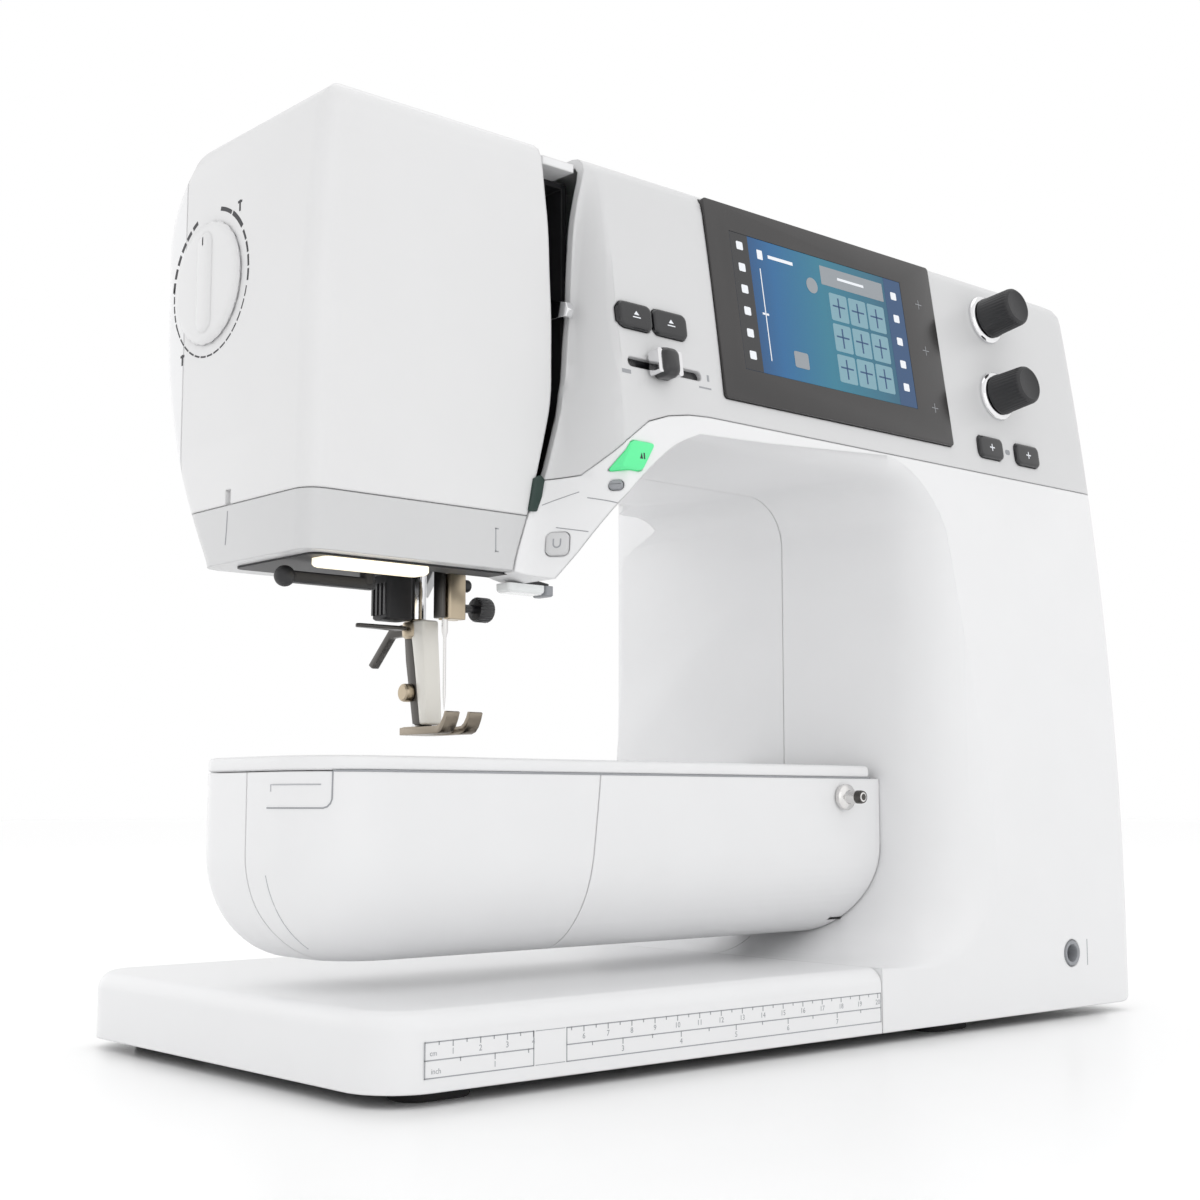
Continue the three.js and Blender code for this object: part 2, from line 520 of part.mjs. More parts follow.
// ---------------------------------------------------------------- free arm and bed
function armSolid(inset) {
  const round = 34;
  const top = ARM.top + (inset ? 5 : 0);
  const levels = [0, 3, 8, 15, 24, round].map((rise) => ARM.bottom + inset + rise).concat([top]);
  return loft(levels.map((z) => {
    const drop = edgeDrop(z - ARM.bottom - inset, round) * 0.8;
    const [left, right] = [ARM.left + inset + drop, ARM.right + (inset ? 5 : 0)];
    return roundedRect(left, right, ARM.front + inset + drop, ARM.back - inset - drop * 0.7,
      [26 - drop * 0.4, 0.5, 0.5, 14 - drop * 0.35], 5).map(([x, y]) => [x, y, z]);
  }));
}

function addFreeArm() {
  // The arm's underside rises over the round foot of the pillar.
  const footCentre = BASE.top + THROAT.footRadius;
  const footCutter = (radius) => prismY([...arc(BASE.right, footCentre, radius, 0, -90, 8),
    [90, footCentre - radius], [90, footCentre]], -120, 120);
  const clearance = THROAT.footRadius - 2 * GAP;
  const inside = cut(armSolid(2.5), footCutter(clearance - 2.5));
  const shell = cut(cut(armSolid(0), footCutter(clearance)), inside);
  const flapSide = [[-70, 101], [FLAP.endSeam, 101], [FLAP.endSeam, 68], [-19, 56], [-22.2, 46], [-29, 36],
    [-34, 30], [-70, 30]];
  const region = (gap) => common(
    prismX(flapSide.map(([y, z]) => [y - (y > -50 ? gap : 0), z]), -205, FLAP.seam),
    prismY([[-205, 25], [FLAP.seam - 6 - gap, 25], [FLAP.seam - gap, 96], [FLAP.seam - gap, 110],
      [-205, 110]], -75, 0));
  add('bobbin_flap', common(shell, region(GAP)), MATERIAL.shell);
  const pinHole = tubeY(45.3, -70, -50, 88.7, 2.6, 12);
  const body = cut(shell, region(0), pinHole, armPort(), box(-200, -188, 8, 14, 88, 92));
  add('free_arm_shell', body, MATERIAL.shell);

  const bed = roundedRect(ARM.left, 62, ARM.front, ARM.back, [26, 2, 2, 14], 6);
  const plateHole = box(-150 - GAP, -84 + GAP, -48 - GAP, 8 + GAP, 90, 110);
  add('free_arm_top', cut(prismZ(bed, ARM.top + GAP, ARM.bedTop), plateHole), MATERIAL.shell);
  const plate = cut(prismZ(roundedRect(-150, -84, -48, 8, 3, 2), ARM.bedTop - 2.2, ARM.bedTop),
    box(-126, -116, -27.2, -22.8, 90, 110),
    box(-131.6, -126.4, -41, -3.4, 90, 110), box(-115.6, -110.4, -41, -3.4, 90, 110));
  add('needle_plate', plate, MATERIAL.steel);

  const pin = [[0, -6], [2.3, -6], [2.3, 0.3], [5, 0.3], [5, 2.6], [2.6, 3.4], [2.6, 10.4], [0, 10.4]];
  const pinLathe = new THREE.LatheGeometry(pin.map(([r, y]) => new THREE.Vector2(r, -y)).reverse(), 16);
  add('accessory_pin', toGeometry(toSolid(pinLathe.translate(45.3, ARM.front, 88.7))), MATERIAL.steel);
}

// ---------------------------------------------------------------- inside frame and drive
function addFrame() {
  const blocks = [
    box(-150, 180, -50, 50, 7, 13), // floor casting
    box(84, 140, 45, 85, 12, 292), // column
    box(-137, 140, 40, 54, 235, 290), // arm beam
    box(-115, 140, -14, 5, 50, 61), // free-arm beam
    box(84, 140, 0, 50, 50, 61), // its root on the column
    box(-135, -107, -30.6, 44, 226, 238), // upper guide of the needle and presser bars
    box(-135, -107, -30.6, 7, 186, 192), // lower guide
    box(-135, -107, 0, 7, 186, 230), // web between the guides
    box(-60, -46, 0, 42, 250, 274), // main bearings
    box(100, 114, 0, 46, 250, 274),
    box(96, 124, MOTOR.y + MOTOR.radius + GAP, 48, 80, 100), // motor saddle
  ];
  const bores = [
    tubeZ(NEEDLE.x, NEEDLE.y, 150, 250, NEEDLE.barRadius + GAP, 16),
    tubeZ(PRESSER.x, PRESSER.y, 150, 250, PRESSER.barRadius + GAP, 16),
    tubeX(-80, 130, SHAFT.y, SHAFT.z, SHAFT.radius + GAP),
  ];
  add('cast_frame', cut(join(...blocks), ...bores), MATERIAL.casting);
}

function addDrive() {
  const [beltX, wheelRadius, pinionRadius] = [148, 24, 8];
  const shaft = join(
    tubeX(-96, BODY.right + 0.1, SHAFT.y, SHAFT.z, SHAFT.radius),
    tubeX(-100, -94, SHAFT.y, SHAFT.z, 14), // crank disc
    tubeX(beltX, beltX + 9, SHAFT.y, SHAFT.z, wheelRadius, 24), // belt wheel
  );
  add('main_shaft', shaft, MATERIAL.steel);
  const rim = [[0, 0], [33, 0], [33.5, 3], [33, 9], [30, 12.6], [16, 12.6], [14, 10], [0, 10]];
  const wheel = new THREE.LatheGeometry(rim.map(([r, y]) => new THREE.Vector2(r, y)), 32);
  wheel.rotateZ(-Math.PI / 2).translate(BODY.right + 0.4, SHAFT.y, SHAFT.z);
  add('handwheel', toGeometry(toSolid(wheel)), MATERIAL.shell);

  add('motor', tubeX(86, 140, MOTOR.y, MOTOR.z, MOTOR.radius, 24), MATERIAL.darkSteel);
  add('motor_pulley', join(tubeX(beltX, beltX + 9, MOTOR.y, MOTOR.z, pinionRadius),
    tubeX(140.3, beltX + 1, MOTOR.y, MOTOR.z, 3, 12)), MATERIAL.steel);
  const beltLoop = (gap) => {
    const lean = THREE.MathUtils.radToDeg(Math.asin((wheelRadius - pinionRadius) / (SHAFT.z - MOTOR.z)));
    return [
      ...arc(SHAFT.y, SHAFT.z, wheelRadius + gap, -lean, 180 + lean, 14),
      ...arc(MOTOR.y, MOTOR.z, pinionRadius + gap, 180 + lean, 360 - lean, 10),
    ];
  };
  add('drive_belt', cut(prismX(beltLoop(2), beltX + 1, beltX + 8), prismX(beltLoop(0.5), beltX, beltX + 9)),
    MATERIAL.rubber);
}

function addHook() {
  add('hook_shaft', join(tubeX(-124.5, 80, HOOK.y, HOOK.z, 4, 16), tubeX(66, 78, HOOK.y, HOOK.z, 10)),
    MATERIAL.steel);
  const round = (x0, x1, radius) => tubeX(x0, x1, HOOK.y, HOOK.z, radius, 24);
  const pointGap = box(-150, -135, -46, -25, 78, 92);
  add('hook', cut(round(-142, -125, HOOK.radius), round(-150, -128, 15.2), pointGap), MATERIAL.steel);
  add('bobbin_case', cut(round(-150, -128.4, 14.6), round(-148.5, -120, 12.8)), MATERIAL.steel);
  const reel = [[3, 0], [11.5, 0], [11.5, 1.2], [4.5, 1.2], [4.5, 12.8], [11.5, 12.8], [11.5, 14], [3, 14],
    [3, 0]];
  const bobbin = new THREE.LatheGeometry(reel.map(([r, y]) => new THREE.Vector2(r, y)), 20);
  bobbin.rotateZ(-Math.PI / 2).translate(-147.5, HOOK.y, HOOK.z);
  add('bobbin', toGeometry(toSolid(bobbin)), MATERIAL.brass);
  const teeth = (x0) => box(x0, x0 + 4, -40, -4.4, 94.5, ARM.bedTop + 0.5);
  add('feed_dog', join(teeth(-131), teeth(-115), box(-131, -111, -8, -4.4, 92.5, 96.5)), MATERIAL.steel);
}

// ---------------------------------------------------------------- needle and presser foot
function addNeedle() {
  const { x, y } = NEEDLE;
  add('needle_bar', tubeZ(x, y, 165.3, 288, NEEDLE.barRadius, 16), MATERIAL.steel);
  const screwZ = 153.6;
  const clampBlock = cut(prismZ(roundedRect(x - 3.4, x + 6.4, y - 3.8, y + 3, 1, 3), 149.2, 165),
    tubeX(x + 2, x + 8, y, screwZ, 1.5 + GAP, 12), tubeZ(x, y, 140, 157, 1.1 + GAP, 12));
  add('needle_clamp', clampBlock, MATERIAL.brass);
  const screw = join(tubeX(x + 2.6, x + 14, y, screwZ, 1.5, 12), tubeX(x + 12.6, x + 19, y, screwZ, 4.4));
  add('clamp_screw', screw, MATERIAL.black);
  add('needle', join(tubeZ(x, y, 143, 156.6, 1.1, 12), tubeZ(x, y, 122, 144, 0.55, 10),
    tubeZ(x, y, NEEDLE.tip, 122.5, 0.12, 10, 0.55)), MATERIAL.steel);
  const { leverX, leverY, leverZ } = TAKE_UP;
  const leverSide = [[0, -3.2], [-16, 2.5], [-34, 2], [-42, 1.5], [-43, 4], [-42, 6.5], [-34, 9], [-16, 10],
    [0, 3.2]].map(([dy, dz]) => [leverY + dy, leverZ + dz]);
  const lever = prismX(leverSide, leverX - 1.5, leverX + 1.5);
  add('take_up_lever', join(lever, tubeX(leverX - 8, leverX + 1.5, leverY, leverZ, 3.5, 16)), MATERIAL.steel);
  const liner = cut(join(box(-116.8, -92.3, -55, -31, 199, 303), box(-116.8, -98.5, -55, -31, 188, 199.5)),
    box(-114.8, -94.3, -60, -33, 201, 301), box(-114.8, -100.5, -60, -33, 190, 202),
    box(leverX - 3, leverX + 3, -40, -20, 205, 275));
  add('slot_liner', liner, MATERIAL.black);
}

function addPresser() {
  const { x, y } = PRESSER;
  add('presser_bar', join(tubeZ(x, y, 150, 284, PRESSER.barRadius, 16), tubeZ(x, y, 200, 206, 5.4, 16)),
    MATERIAL.steel);
  const shankSide = [[-9, 0], [-9.2, -6], [-11.6, -36.5], [-2.5, -36.5], [2, -14], [3.5, 0]];
  const hookSide = [[-3, -0.6], [6, -0.6], [27.5, -13.8], [25, -15.3], [6, -5], [-3, -5]];
  const sideways = (outline, half) =>
    prismX(outline.map(([dy, dz]) => [y + dy, 149.7 + dz]), x - half, x + half);
  add('foot_shank', join(sideways(shankSide, 3.4), sideways(hookSide, 2.5), tubeZ(x, y, 143.5, 149.7, 5, 14),
    tubeX(x - 6.4, x, y - 1, 124.5, 3.2, 14)), MATERIAL.shell);
  const soleSide = [[-6.5, 0], [-31, 0], [-33.5, 1.2], [-35.6, 4], [-37, 7], [-35.4, 7.4], [-33, 3.8],
    [-30, 2.6], [-6.5, 2.6]].map(([sy, sz]) => [sy, PRESSER.soleBottom + sz]);
  const sole = cut(prismX(soleSide, x - 7.5, x + 7.5), box(x - 3.8, x + 3.8, -28.2, -21.8, 100, 130),
    box(x - 2.2, x + 2.2, -50, -21.9, 100, 130));
  add('foot_sole', sole, MATERIAL.steel);
  const lifterArm = prismX([[8, 186], [8, 180], [24, 177], [44, 176], [46, 179], [44, 182], [24, 184]],
    -104, -96);
  add('presser_lifter', join(lifterArm, tubeX(-104, -94, 6, 184, 5, 16)), MATERIAL.black);
}

// ---------------------------------------------------------------- hand controls and fittings
function addFittings() {
  const knob = join(tubeX(BODY.left - DIAL.depth, BODY.left - GAP, DIAL.y, DIAL.z, DIAL.radius, 32),
    tubeX(BODY.left - 1, BODY.left + 14, DIAL.y, DIAL.z, 4, 16));
  add('pressure_dial', knob, MATERIAL.shell);
  add('led_light', box(-188, -148, -54, -44.5, 159.4, HEAD.bottom - GAP), MATERIAL.lens);
  add('threader_lever', join(tubeZ(-160, -35, 157, 200, 2.5, 12), box(-190, -157.5, -37, -33, 155.5, 159.2),
    new THREE.SphereGeometry(3.4, 12, 8).translate(-191, -35, 157.4)), MATERIAL.black);
  const bridge = prismY([[-112, 303], [-98, 303], [-98, 306], [-112, 306]], -66, -41);
  add('thread_guide', bridge, MATERIAL.shell);

  const cavity = box(180, 200, INLET.y0 + 4, INLET.y1 - 4, INLET.z0 + 5, INLET.z1 - 5);
  const inlet = cut(box(172, BODY.right + 0.8, INLET.y0, INLET.y1, INLET.z0, INLET.z1), cavity);
  add('power_inlet', inlet, MATERIAL.black);
  const rockerSide = [[182, 75], [191.4, 75], [194, 84.9], [192.2, 95], [182, 95]];
  add('power_switch', prismY(rockerSide, SWITCH.y0, SWITCH.y1), MATERIAL.black);

  const { x0, x1, front, bar, pivotY, pivotZ, half } = HANDLE;
  const plate = cut(
    prismZ(roundedRect(x0, x1, front, pivotY, [8, 8, 0.5, 0.5], 4), pivotZ - half, pivotZ + half),
    box(x0 + bar, x1 - bar, front + bar, pivotY + 10, 300, 330));
  add('carry_handle', join(plate, tubeX(x0, x0 + bar, pivotY, pivotZ, half, 20),
    tubeX(x1 - bar, x1, pivotY, pivotZ, half, 20)), MATERIAL.shell);
  const pinZ = 314.9;
  add('spool_pin', join(tubeX(104, 168, 20, pinZ, 2.4, 12), tubeY(104, 13, 27, pinZ, 5, 16)), MATERIAL.grey);
  add('bobbin_winder', join(tubeZ(WINDER.x, WINDER.y, 300, 312, 2.2, 12),
    tubeZ(WINDER.x, WINDER.y, 310, 314, 9, 20), tubeZ(WINDER.x, WINDER.y, 313, 321, 3, 12)), MATERIAL.black);
}

addBase();
addBodyHousings();
addFreeArm();
addControls();
addFrame();
addDrive();
addHook();
addNeedle();
addPresser();
addFittings();

export default group;
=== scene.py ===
"""Looks of the free-arm sewing machine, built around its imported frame.

Sizes are millimetres in the frame's axes (+X right, +Y back, +Z up), and MM turns them into metres.
"""
import math

import bmesh
import bpy
import numpy as np
from mathutils import Matrix, Vector


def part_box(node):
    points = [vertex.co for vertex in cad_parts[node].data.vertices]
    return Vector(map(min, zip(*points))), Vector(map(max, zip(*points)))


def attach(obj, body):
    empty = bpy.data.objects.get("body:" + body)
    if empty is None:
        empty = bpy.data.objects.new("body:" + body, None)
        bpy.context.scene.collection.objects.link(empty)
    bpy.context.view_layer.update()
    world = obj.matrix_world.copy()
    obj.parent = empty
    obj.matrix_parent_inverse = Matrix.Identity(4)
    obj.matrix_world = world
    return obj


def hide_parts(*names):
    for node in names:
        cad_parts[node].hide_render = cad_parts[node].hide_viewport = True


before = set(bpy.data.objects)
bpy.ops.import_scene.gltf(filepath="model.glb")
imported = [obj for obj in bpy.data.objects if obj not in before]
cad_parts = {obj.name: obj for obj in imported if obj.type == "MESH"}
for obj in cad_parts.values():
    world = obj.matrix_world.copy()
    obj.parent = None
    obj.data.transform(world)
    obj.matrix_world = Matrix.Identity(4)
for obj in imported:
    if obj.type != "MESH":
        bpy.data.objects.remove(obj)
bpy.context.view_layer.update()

MM = 0.001
GAP = 0.3
WALL = 3.0


def node_box(node):
    """Lowest and highest corner of a node of the frame, in millimetres."""
    low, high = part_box(node)
    return np.array(low) / MM, np.array(high) / MM


# ------------------------------------------------------------------ driving dimensions
BODY = dict(left=-199.0, right=192.0, top=309.5, bottom=4.0, front=-95.0, back=95.0, arm_back=62.0, bulge=1.9)
PILLAR_INNER = 67.6
THREADER = (-160.0, -35.0)
THROAT = dict(top=214.0, corner=20.0, foot=43.0, flare=34.0, top_flare=14.0, left=-55.0)
BASE = dict(left=-193.2, right=24.6, top=27.0, bottom=4.0, edge=6.0, corner=18.0)
PANEL_SEAM = 221.0
HOUSING_SPLIT = -9.0
TOP_SPLIT = -40.0
HEAD = dict(bottom=163.0, strip_top=182.0, cover_back=20.0, corner=7.0)
ARM = dict(left=-193.0, right=67.3, front=-60.0, back=17.0, bottom=36.0, top=96.0, bed_top=101.0)
FLAP = dict(seam=-80.0, end_seam=-18.0)
SLOT_RIGHT = [(163, -119), (185.5, -111.6), (195, -105.5), (209, -101.5), (222, -98.1), (236, -96.8),
              (255, -96), (286, -97.5), (310, -95)]
SLOT_LEFT = [(163, -119.8), (185.5, -112), (205, -107), (223, -103), (251, -104), (281, -108), (308, -115.7)]
HEAD_BACK = [(162, 4), (169, 9.5), (190, 22), (205, 28.5), (223, 34), (240, 37), (260, 37), (285, 37.5),
             (304, 35)]
BUTTONS = dict(
    button_needle_stop=(-82.2, 252, 7.6, 4.7, 2.6), button_securing=(-65.8, 252, 8, 4.7, 2.6),
    button_pattern_begin=(115.5, 232.5, 8, 4.6, 2.4), button_pattern_end=(141, 232.5, 8, 4.6, 2.4))
KNOBS = dict(knob_upper=(126, 290.5), knob_lower=(125, 256.3))
KNOB = dict(radius=8.3, base=2.8, length=17.6, stem=3.0)
START = (-86.0, 202.0)
OVAL = (-94.1, 191.5)
REVERSE = (-107.0, 172.0)
KEY_HOLE = 3.1
HANDLE = dict(x0=-64, x1=84, front=14, bar=9, pivot_y=51, pivot_z=313.4, half=3.15)
LUG = dict(x=(-71, 84.6), width=6.4, y0=47, y1=55, top=316.5)
WINDER = (165.0, 47.0)
DISPLAY = dict(x=24.4, z=268.0, width=131.0, height=77.6, proud=0.8, depth=4.0)
SCREEN = dict(x=-4.3, y=1.0, width=98.2, height=54.0)
SLIDER = dict(x=-72.8, z=235.5, left=-87.0, right=-52.0, slot=3.6)
SOCKET = dict(x=144.5, z=25.9, radius=5.2)
DIAL = dict(y=3.0, z=259.0, radius=21.0, depth=3.2)
NEEDLE = (-121.0, -25.0)
PRESSER = (-121.0, -8.0)
SHAFT = (10.0, 262.0)


# ------------------------------------------------------------------ curves and surfaces
def smoothstep(t):
    t = np.clip(t, 0.0, 1.0)
    return t * t * (3 - 2 * t)


def mix(a, b, t):
    return a + (b - a) * t


def along(pairs, key):
    keys, values = zip(*pairs)
    return np.interp(key, keys, values)


def soft_along(pairs, key):
    """Interpolation that is averaged over a short stretch, so that the line has no corners."""
    return sum(along(pairs, key + offset) for offset in (-6, -3, 0, 3, 6)) / 5


def edge_drop(distance, radius):
    """How far a quarter-round edge lies below its face, at a distance from the edge."""
    inside = np.maximum(0.0, radius ** 2 - (radius - np.minimum(distance, radius)) ** 2)
    return np.where(distance >= radius, 0.0, radius - np.sqrt(inside))


def panel_y(z):
    return BODY["front"] + 0.00032 * np.maximum(0, z - 30) ** 2


def head_y(z):
    return -60 - 10 * np.clip((z - 186) / 123.5, 0, 1) ** 3


def front_y(x, z, inset=0.0):
    """Front of the upper body: the head's plane steps forward to the panel's, right of the slot."""
    step_width = mix(28, 7, np.clip((z - 163) / 58, 0, 1))
    step = smoothstep((x - soft_along(SLOT_RIGHT, z)) / step_width)
    return (mix(head_y(z), panel_y(z), step) + inset
            + edge_drop(x - BODY["left"] - inset, HEAD["corner"] - inset)
            + edge_drop(BODY["right"] - inset - x, 10 - inset)
            + edge_drop(BODY["top"] - inset - z, 8 - inset))


def back_y(x, z, inset=0.0):
    head = soft_along(HEAD_BACK, z)
    reach = np.maximum(smoothstep((z - 212) / 8), smoothstep((x - 20) / 20))
    arm = mix(head, BODY["arm_back"], smoothstep((x + 180) / 50) * reach)
    pillar = BODY["back"] + BODY["bulge"] * smoothstep((z - 30) / 40)
    merge = mix(1.0, smoothstep((x - 60) / 10), smoothstep((z - 90) / 60))
    return (mix(arm, pillar, merge) - inset
            - edge_drop(x - BODY["left"] - inset, 8 - inset)
            - edge_drop(BODY["right"] - inset - x, 18 - inset)
            - edge_drop(BODY["top"] - inset - z, mix(34, 14, smoothstep((x + 195) / 70)) - inset))


def arc(cx, cy, radius, start, end, steps=16):
    angles = np.radians(np.linspace(start, end, steps + 1))
    return [(cx + radius * math.cos(a), cy + radius * math.sin(a)) for a in angles]


def rounded_rect(x0, x1, y0, y1, radii, steps=10):
    a, b, c, d = radii if isinstance(radii, (tuple, list)) else (radii,) * 4
    return (arc(x0 + a, y0 + a, a, 180, 270, steps) + arc(x1 - b, y0 + b, b, 270, 360, steps)
            + arc(x1 - c, y1 - c, c, 0, 90, steps) + arc(x0 + d, y1 - d, d, 90, 180, steps))


def surface_frame(x, z):
    """Frame on the body's front: local Z points out of the surface and local Y up it."""
    step = 0.5
    slope_x = float(front_y(x + step, z) - front_y(x - step, z)) / (2 * step)
    slope_z = float(front_y(x, z + step) - front_y(x, z - step)) / (2 * step)
    normal = Vector((slope_x, -1, slope_z)).normalized()
    across = Vector((1, slope_x, 0)).normalized()
    up = normal.cross(across)
    matrix = Matrix((across, up, normal)).transposed().to_4x4()
    matrix.translation = Vector((x, float(front_y(x, z)), z))
    return matrix


# ------------------------------------------------------------------ mesh making
def new_object(name, verts, faces, matrix=None):
    """Closed mesh object from millimetre points, with its faces pointing out."""
    mesh = bpy.data.meshes.new(name)
    points = np.asarray(verts, dtype=float)
    if matrix is not None:
        m = np.array(matrix)
        points = points @ m[:3, :3].T + m[:3, 3]
    mesh.from_pydata([tuple(p) for p in points * MM], [], faces)
    work = bmesh.new()
    work.from_mesh(mesh)
    bmesh.ops.remove_doubles(work, verts=work.verts, dist=1e-7)
    bmesh.ops.recalc_face_normals(work, faces=work.faces)
    work.to_mesh(mesh)
    work.free()
    obj = bpy.data.objects.new(name, mesh)
    bpy.context.scene.collection.objects.link(obj)
    return obj


def loft(name, rings, matrix=None):
    """Closed body through rings with equal counts of points, with a face over either end."""
    count = len(rings[0])
    verts = [p for ring in rings for p in ring]
    faces = [tuple(range(count))[::-1], tuple(range(len(verts) - count, len(verts)))]
    for k in range(len(rings) - 1):
        for i in range(count):
            a, b = k * count + i, k * count + (i + 1) % count
            faces.append((a, b, b + count, a + count))
    return new_object(name, verts, faces, matrix)


def prism(name, outline, axis, start, end, matrix=None):
    """Prism along an axis from a flat outline in the other two axes, in order."""
    def place(u, v, w):
        return {"x": (w, u, v), "y": (u, w, v), "z": (u, v, w)}[axis]
    return loft(name, [[place(u, v, w) for u, v in outline] for w in (start, end)], matrix)


def box(name, x0, x1, y0, y1, z0, z1, matrix=None):
    return prism(name, [(x0, y0), (x1, y0), (x1, y1), (x0, y1)], "z", z0, z1, matrix)


def rounded_block(name, edges, corner, levels, steps=8, matrix=None, shrink=0.0):
    """Upright block with round corners; each level is (height, how far its outline draws in)."""
    x0, x1, y0, y1 = edges
    return loft(name, [[(u, v, level) for u, v in rounded_rect(x0 + d, x1 - d, y0 + d, y1 - d,
                                                               corner - d * shrink, steps)]
                       for level, d in levels], matrix)


def grid_solid(name, xs, zs, front, back):
    """Block between a front and a back surface, both given over a grid of x and z stations."""
    gx, gz = np.meshgrid(xs, zs)
    layers = [np.stack([gx, surface(gx, gz), gz], axis=-1).reshape(-1, 3) for surface in (front, back)]
    wide, tall = len(xs), len(zs)
    size = wide * tall
    faces = []
    for j in range(tall - 1):
        for i in range(wide - 1):
            a = j * wide + i
            faces.append((a, a + 1, a + 1 + wide, a + wide))
            faces.append((a + size, a + wide + size, a + 1 + wide + size, a + 1 + size))
    for i in range(wide - 1):
        for a in (i, (tall - 1) * wide + i):
            faces.append((a, a + size, a + 1 + size, a + 1))
    for j in range(tall - 1):
        for a in (j * wide, j * wide + wide - 1):
            faces.append((a, a + wide, a + wide + size, a + size))
    return new_object(name, np.concatenate(layers), faces)


def turned(name, profile, steps=64, matrix=None, ripple=None):
    """Lathe round local Z from (radius, height) points; ripple(angle, radius, height) reshapes it."""
    rings = []
    for radius, height in profile:
        ring = []
        for k in range(steps):
            angle = 2 * math.pi * k / steps
            r = ripple(angle, radius, height) if ripple else radius
            ring.append((r * math.cos(angle), r * math.sin(angle), height))
        rings.append(ring)
    return loft(name, rings, matrix)


def towards(axis, place):
    """Frame at a place whose local Z runs along a direction."""
    matrix = Vector(axis).to_track_quat("Z", "Y").to_matrix().to_4x4()
    matrix.translation = Vector(place)
    return matrix


def cut(obj, *tools, operation="DIFFERENCE"):
    """Applies a boolean with each tool in turn, and removes the tools."""
    for tool in tools:
        step = obj.modifiers.new(tool.name, "BOOLEAN")
        step.operation, step.solver, step.object = operation, "MANIFOLD", tool
    evaluated = obj.evaluated_get(bpy.context.evaluated_depsgraph_get())
    mesh = bpy.data.meshes.new_from_object(evaluated)
    obj.modifiers.clear()
    obj.data = mesh
    for tool in tools:
        bpy.data.objects.remove(tool)
    return obj


def keep(obj, *tools):
    return cut(obj, *tools, operation="INTERSECT")


def union(obj, *tools):
    return cut(obj, *tools, operation="UNION")


def copy_of(obj, name):
    twin = obj.copy()
    twin.data = obj.data.copy()
    twin.name = name
    bpy.context.scene.collection.objects.link(twin)
    return twin


def biggest_part(obj):
    """Drops the slivers that a cut leaves behind."""
    work = bmesh.new()
    work.from_mesh(obj.data)
    seen, groups = set(), []
    for start in work.verts:
        if start.index in seen:
            continue
        group, queue = [], [start]
        seen.add(start.index)
        while queue:
            vert = queue.pop()
            group.append(vert)
            for edge in vert.link_edges:
                other = edge.other_vert(vert)
                if other.index not in seen:
                    seen.add(other.index)
                    queue.append(other)
        groups.append(group)
    groups.sort(key=len)
    bmesh.ops.delete(work, geom=[v for group in groups[:-1] for v in group], context="VERTS")
    work.to_mesh(obj.data)
    work.free()
    return obj


def smooth(obj, angle=32):
    obj.data.shade_smooth()
    obj.data.set_sharp_from_angle(angle=math.radians(angle))
    return obj


def bevel(obj, width=0.4, segments=3, angle=35):
    step = obj.modifiers.new("round_edges", "BEVEL")
    step.width, step.segments, step.limit_method = width * MM, segments, "ANGLE"
    step.angle_limit = math.radians(angle)
    step.harden_normals = False
    return obj


# ------------------------------------------------------------------ materials
def material(name, color, roughness=0.4, metallic=0.0, mottle=0.02, grain=0.0, grain_scale=900,
             coat=0.0, glow=None, glow_strength=0.0, brushed=False, round_edges=0.0):
    """Procedural surface: a slow mottle in colour and roughness, and a fine moulded or brushed grain."""
    mat = bpy.data.materials.new(name)
    mat.use_nodes = True
    nodes, links = mat.node_tree.nodes, mat.node_tree.links
    shader = nodes["Principled BSDF"]
    place = nodes.new("ShaderNodeTexCoord")
    slow = nodes.new("ShaderNodeTexNoise")
    slow.inputs["Scale"].default_value = 35
    slow.inputs["Detail"].default_value = 3
    links.new(place.outputs["Object"], slow.inputs["Vector"])
    tint = nodes.new("ShaderNodeValToRGB")
    dark = [c * (1 - mottle) for c in color]
    light = [min(1, c * (1 + mottle)) for c in color]
    tint.color_ramp.elements[0].position, tint.color_ramp.elements[0].color = 0.35, (*dark, 1)
    tint.color_ramp.elements[1].position, tint.color_ramp.elements[1].color = 0.65, (*light, 1)
    links.new(slow.outputs["Fac"], tint.inputs["Fac"])
    links.new(tint.outputs["Color"], shader.inputs["Base Color"])
    gloss = nodes.new("ShaderNodeMapRange")
    gloss.inputs["To Min"].default_value = roughness * 0.88
    gloss.inputs["To Max"].default_value = min(1, roughness * 1.12)
    links.new(slow.outputs["Fac"], gloss.inputs["Value"])
    links.new(gloss.outputs["Result"], shader.inputs["Roughness"])
    if grain:
        fine = nodes.new("ShaderNodeTexNoise")
        fine.inputs["Scale"].default_value = grain_scale
        fine.inputs["Detail"].default_value = 2
        source = place.outputs["Object"]
        if brushed:
            stretch = nodes.new("ShaderNodeMapping")
            stretch.inputs["Scale"].default_value = (1, 1, 0.04)
            links.new(source, stretch.inputs["Vector"])
            source = stretch.outputs["Vector"]
        links.new(source, fine.inputs["Vector"])
        bump = nodes.new("ShaderNodeBump")
        bump.inputs["Strength"].default_value = grain
        bump.inputs["Distance"].default_value = 0.00008
        links.new(fine.outputs["Fac"], bump.inputs["Height"])
        links.new(bump.outputs["Normal"], shader.inputs["Normal"])
        if round_edges:
            edges = nodes.new("ShaderNodeBevel")
            edges.samples = 4
            edges.inputs["Radius"].default_value = round_edges * MM
            links.new(edges.outputs["Normal"], bump.inputs["Normal"])
    shader.inputs["Metallic"].default_value = metallic
    shader.inputs["Coat Weight"].default_value = coat
    shader.inputs["Coat Roughness"].default_value = 0.12
    if glow:
        shader.inputs["Emission Color"].default_value = (*glow, 1)
        shader.inputs["Emission Strength"].default_value = glow_strength
    return mat


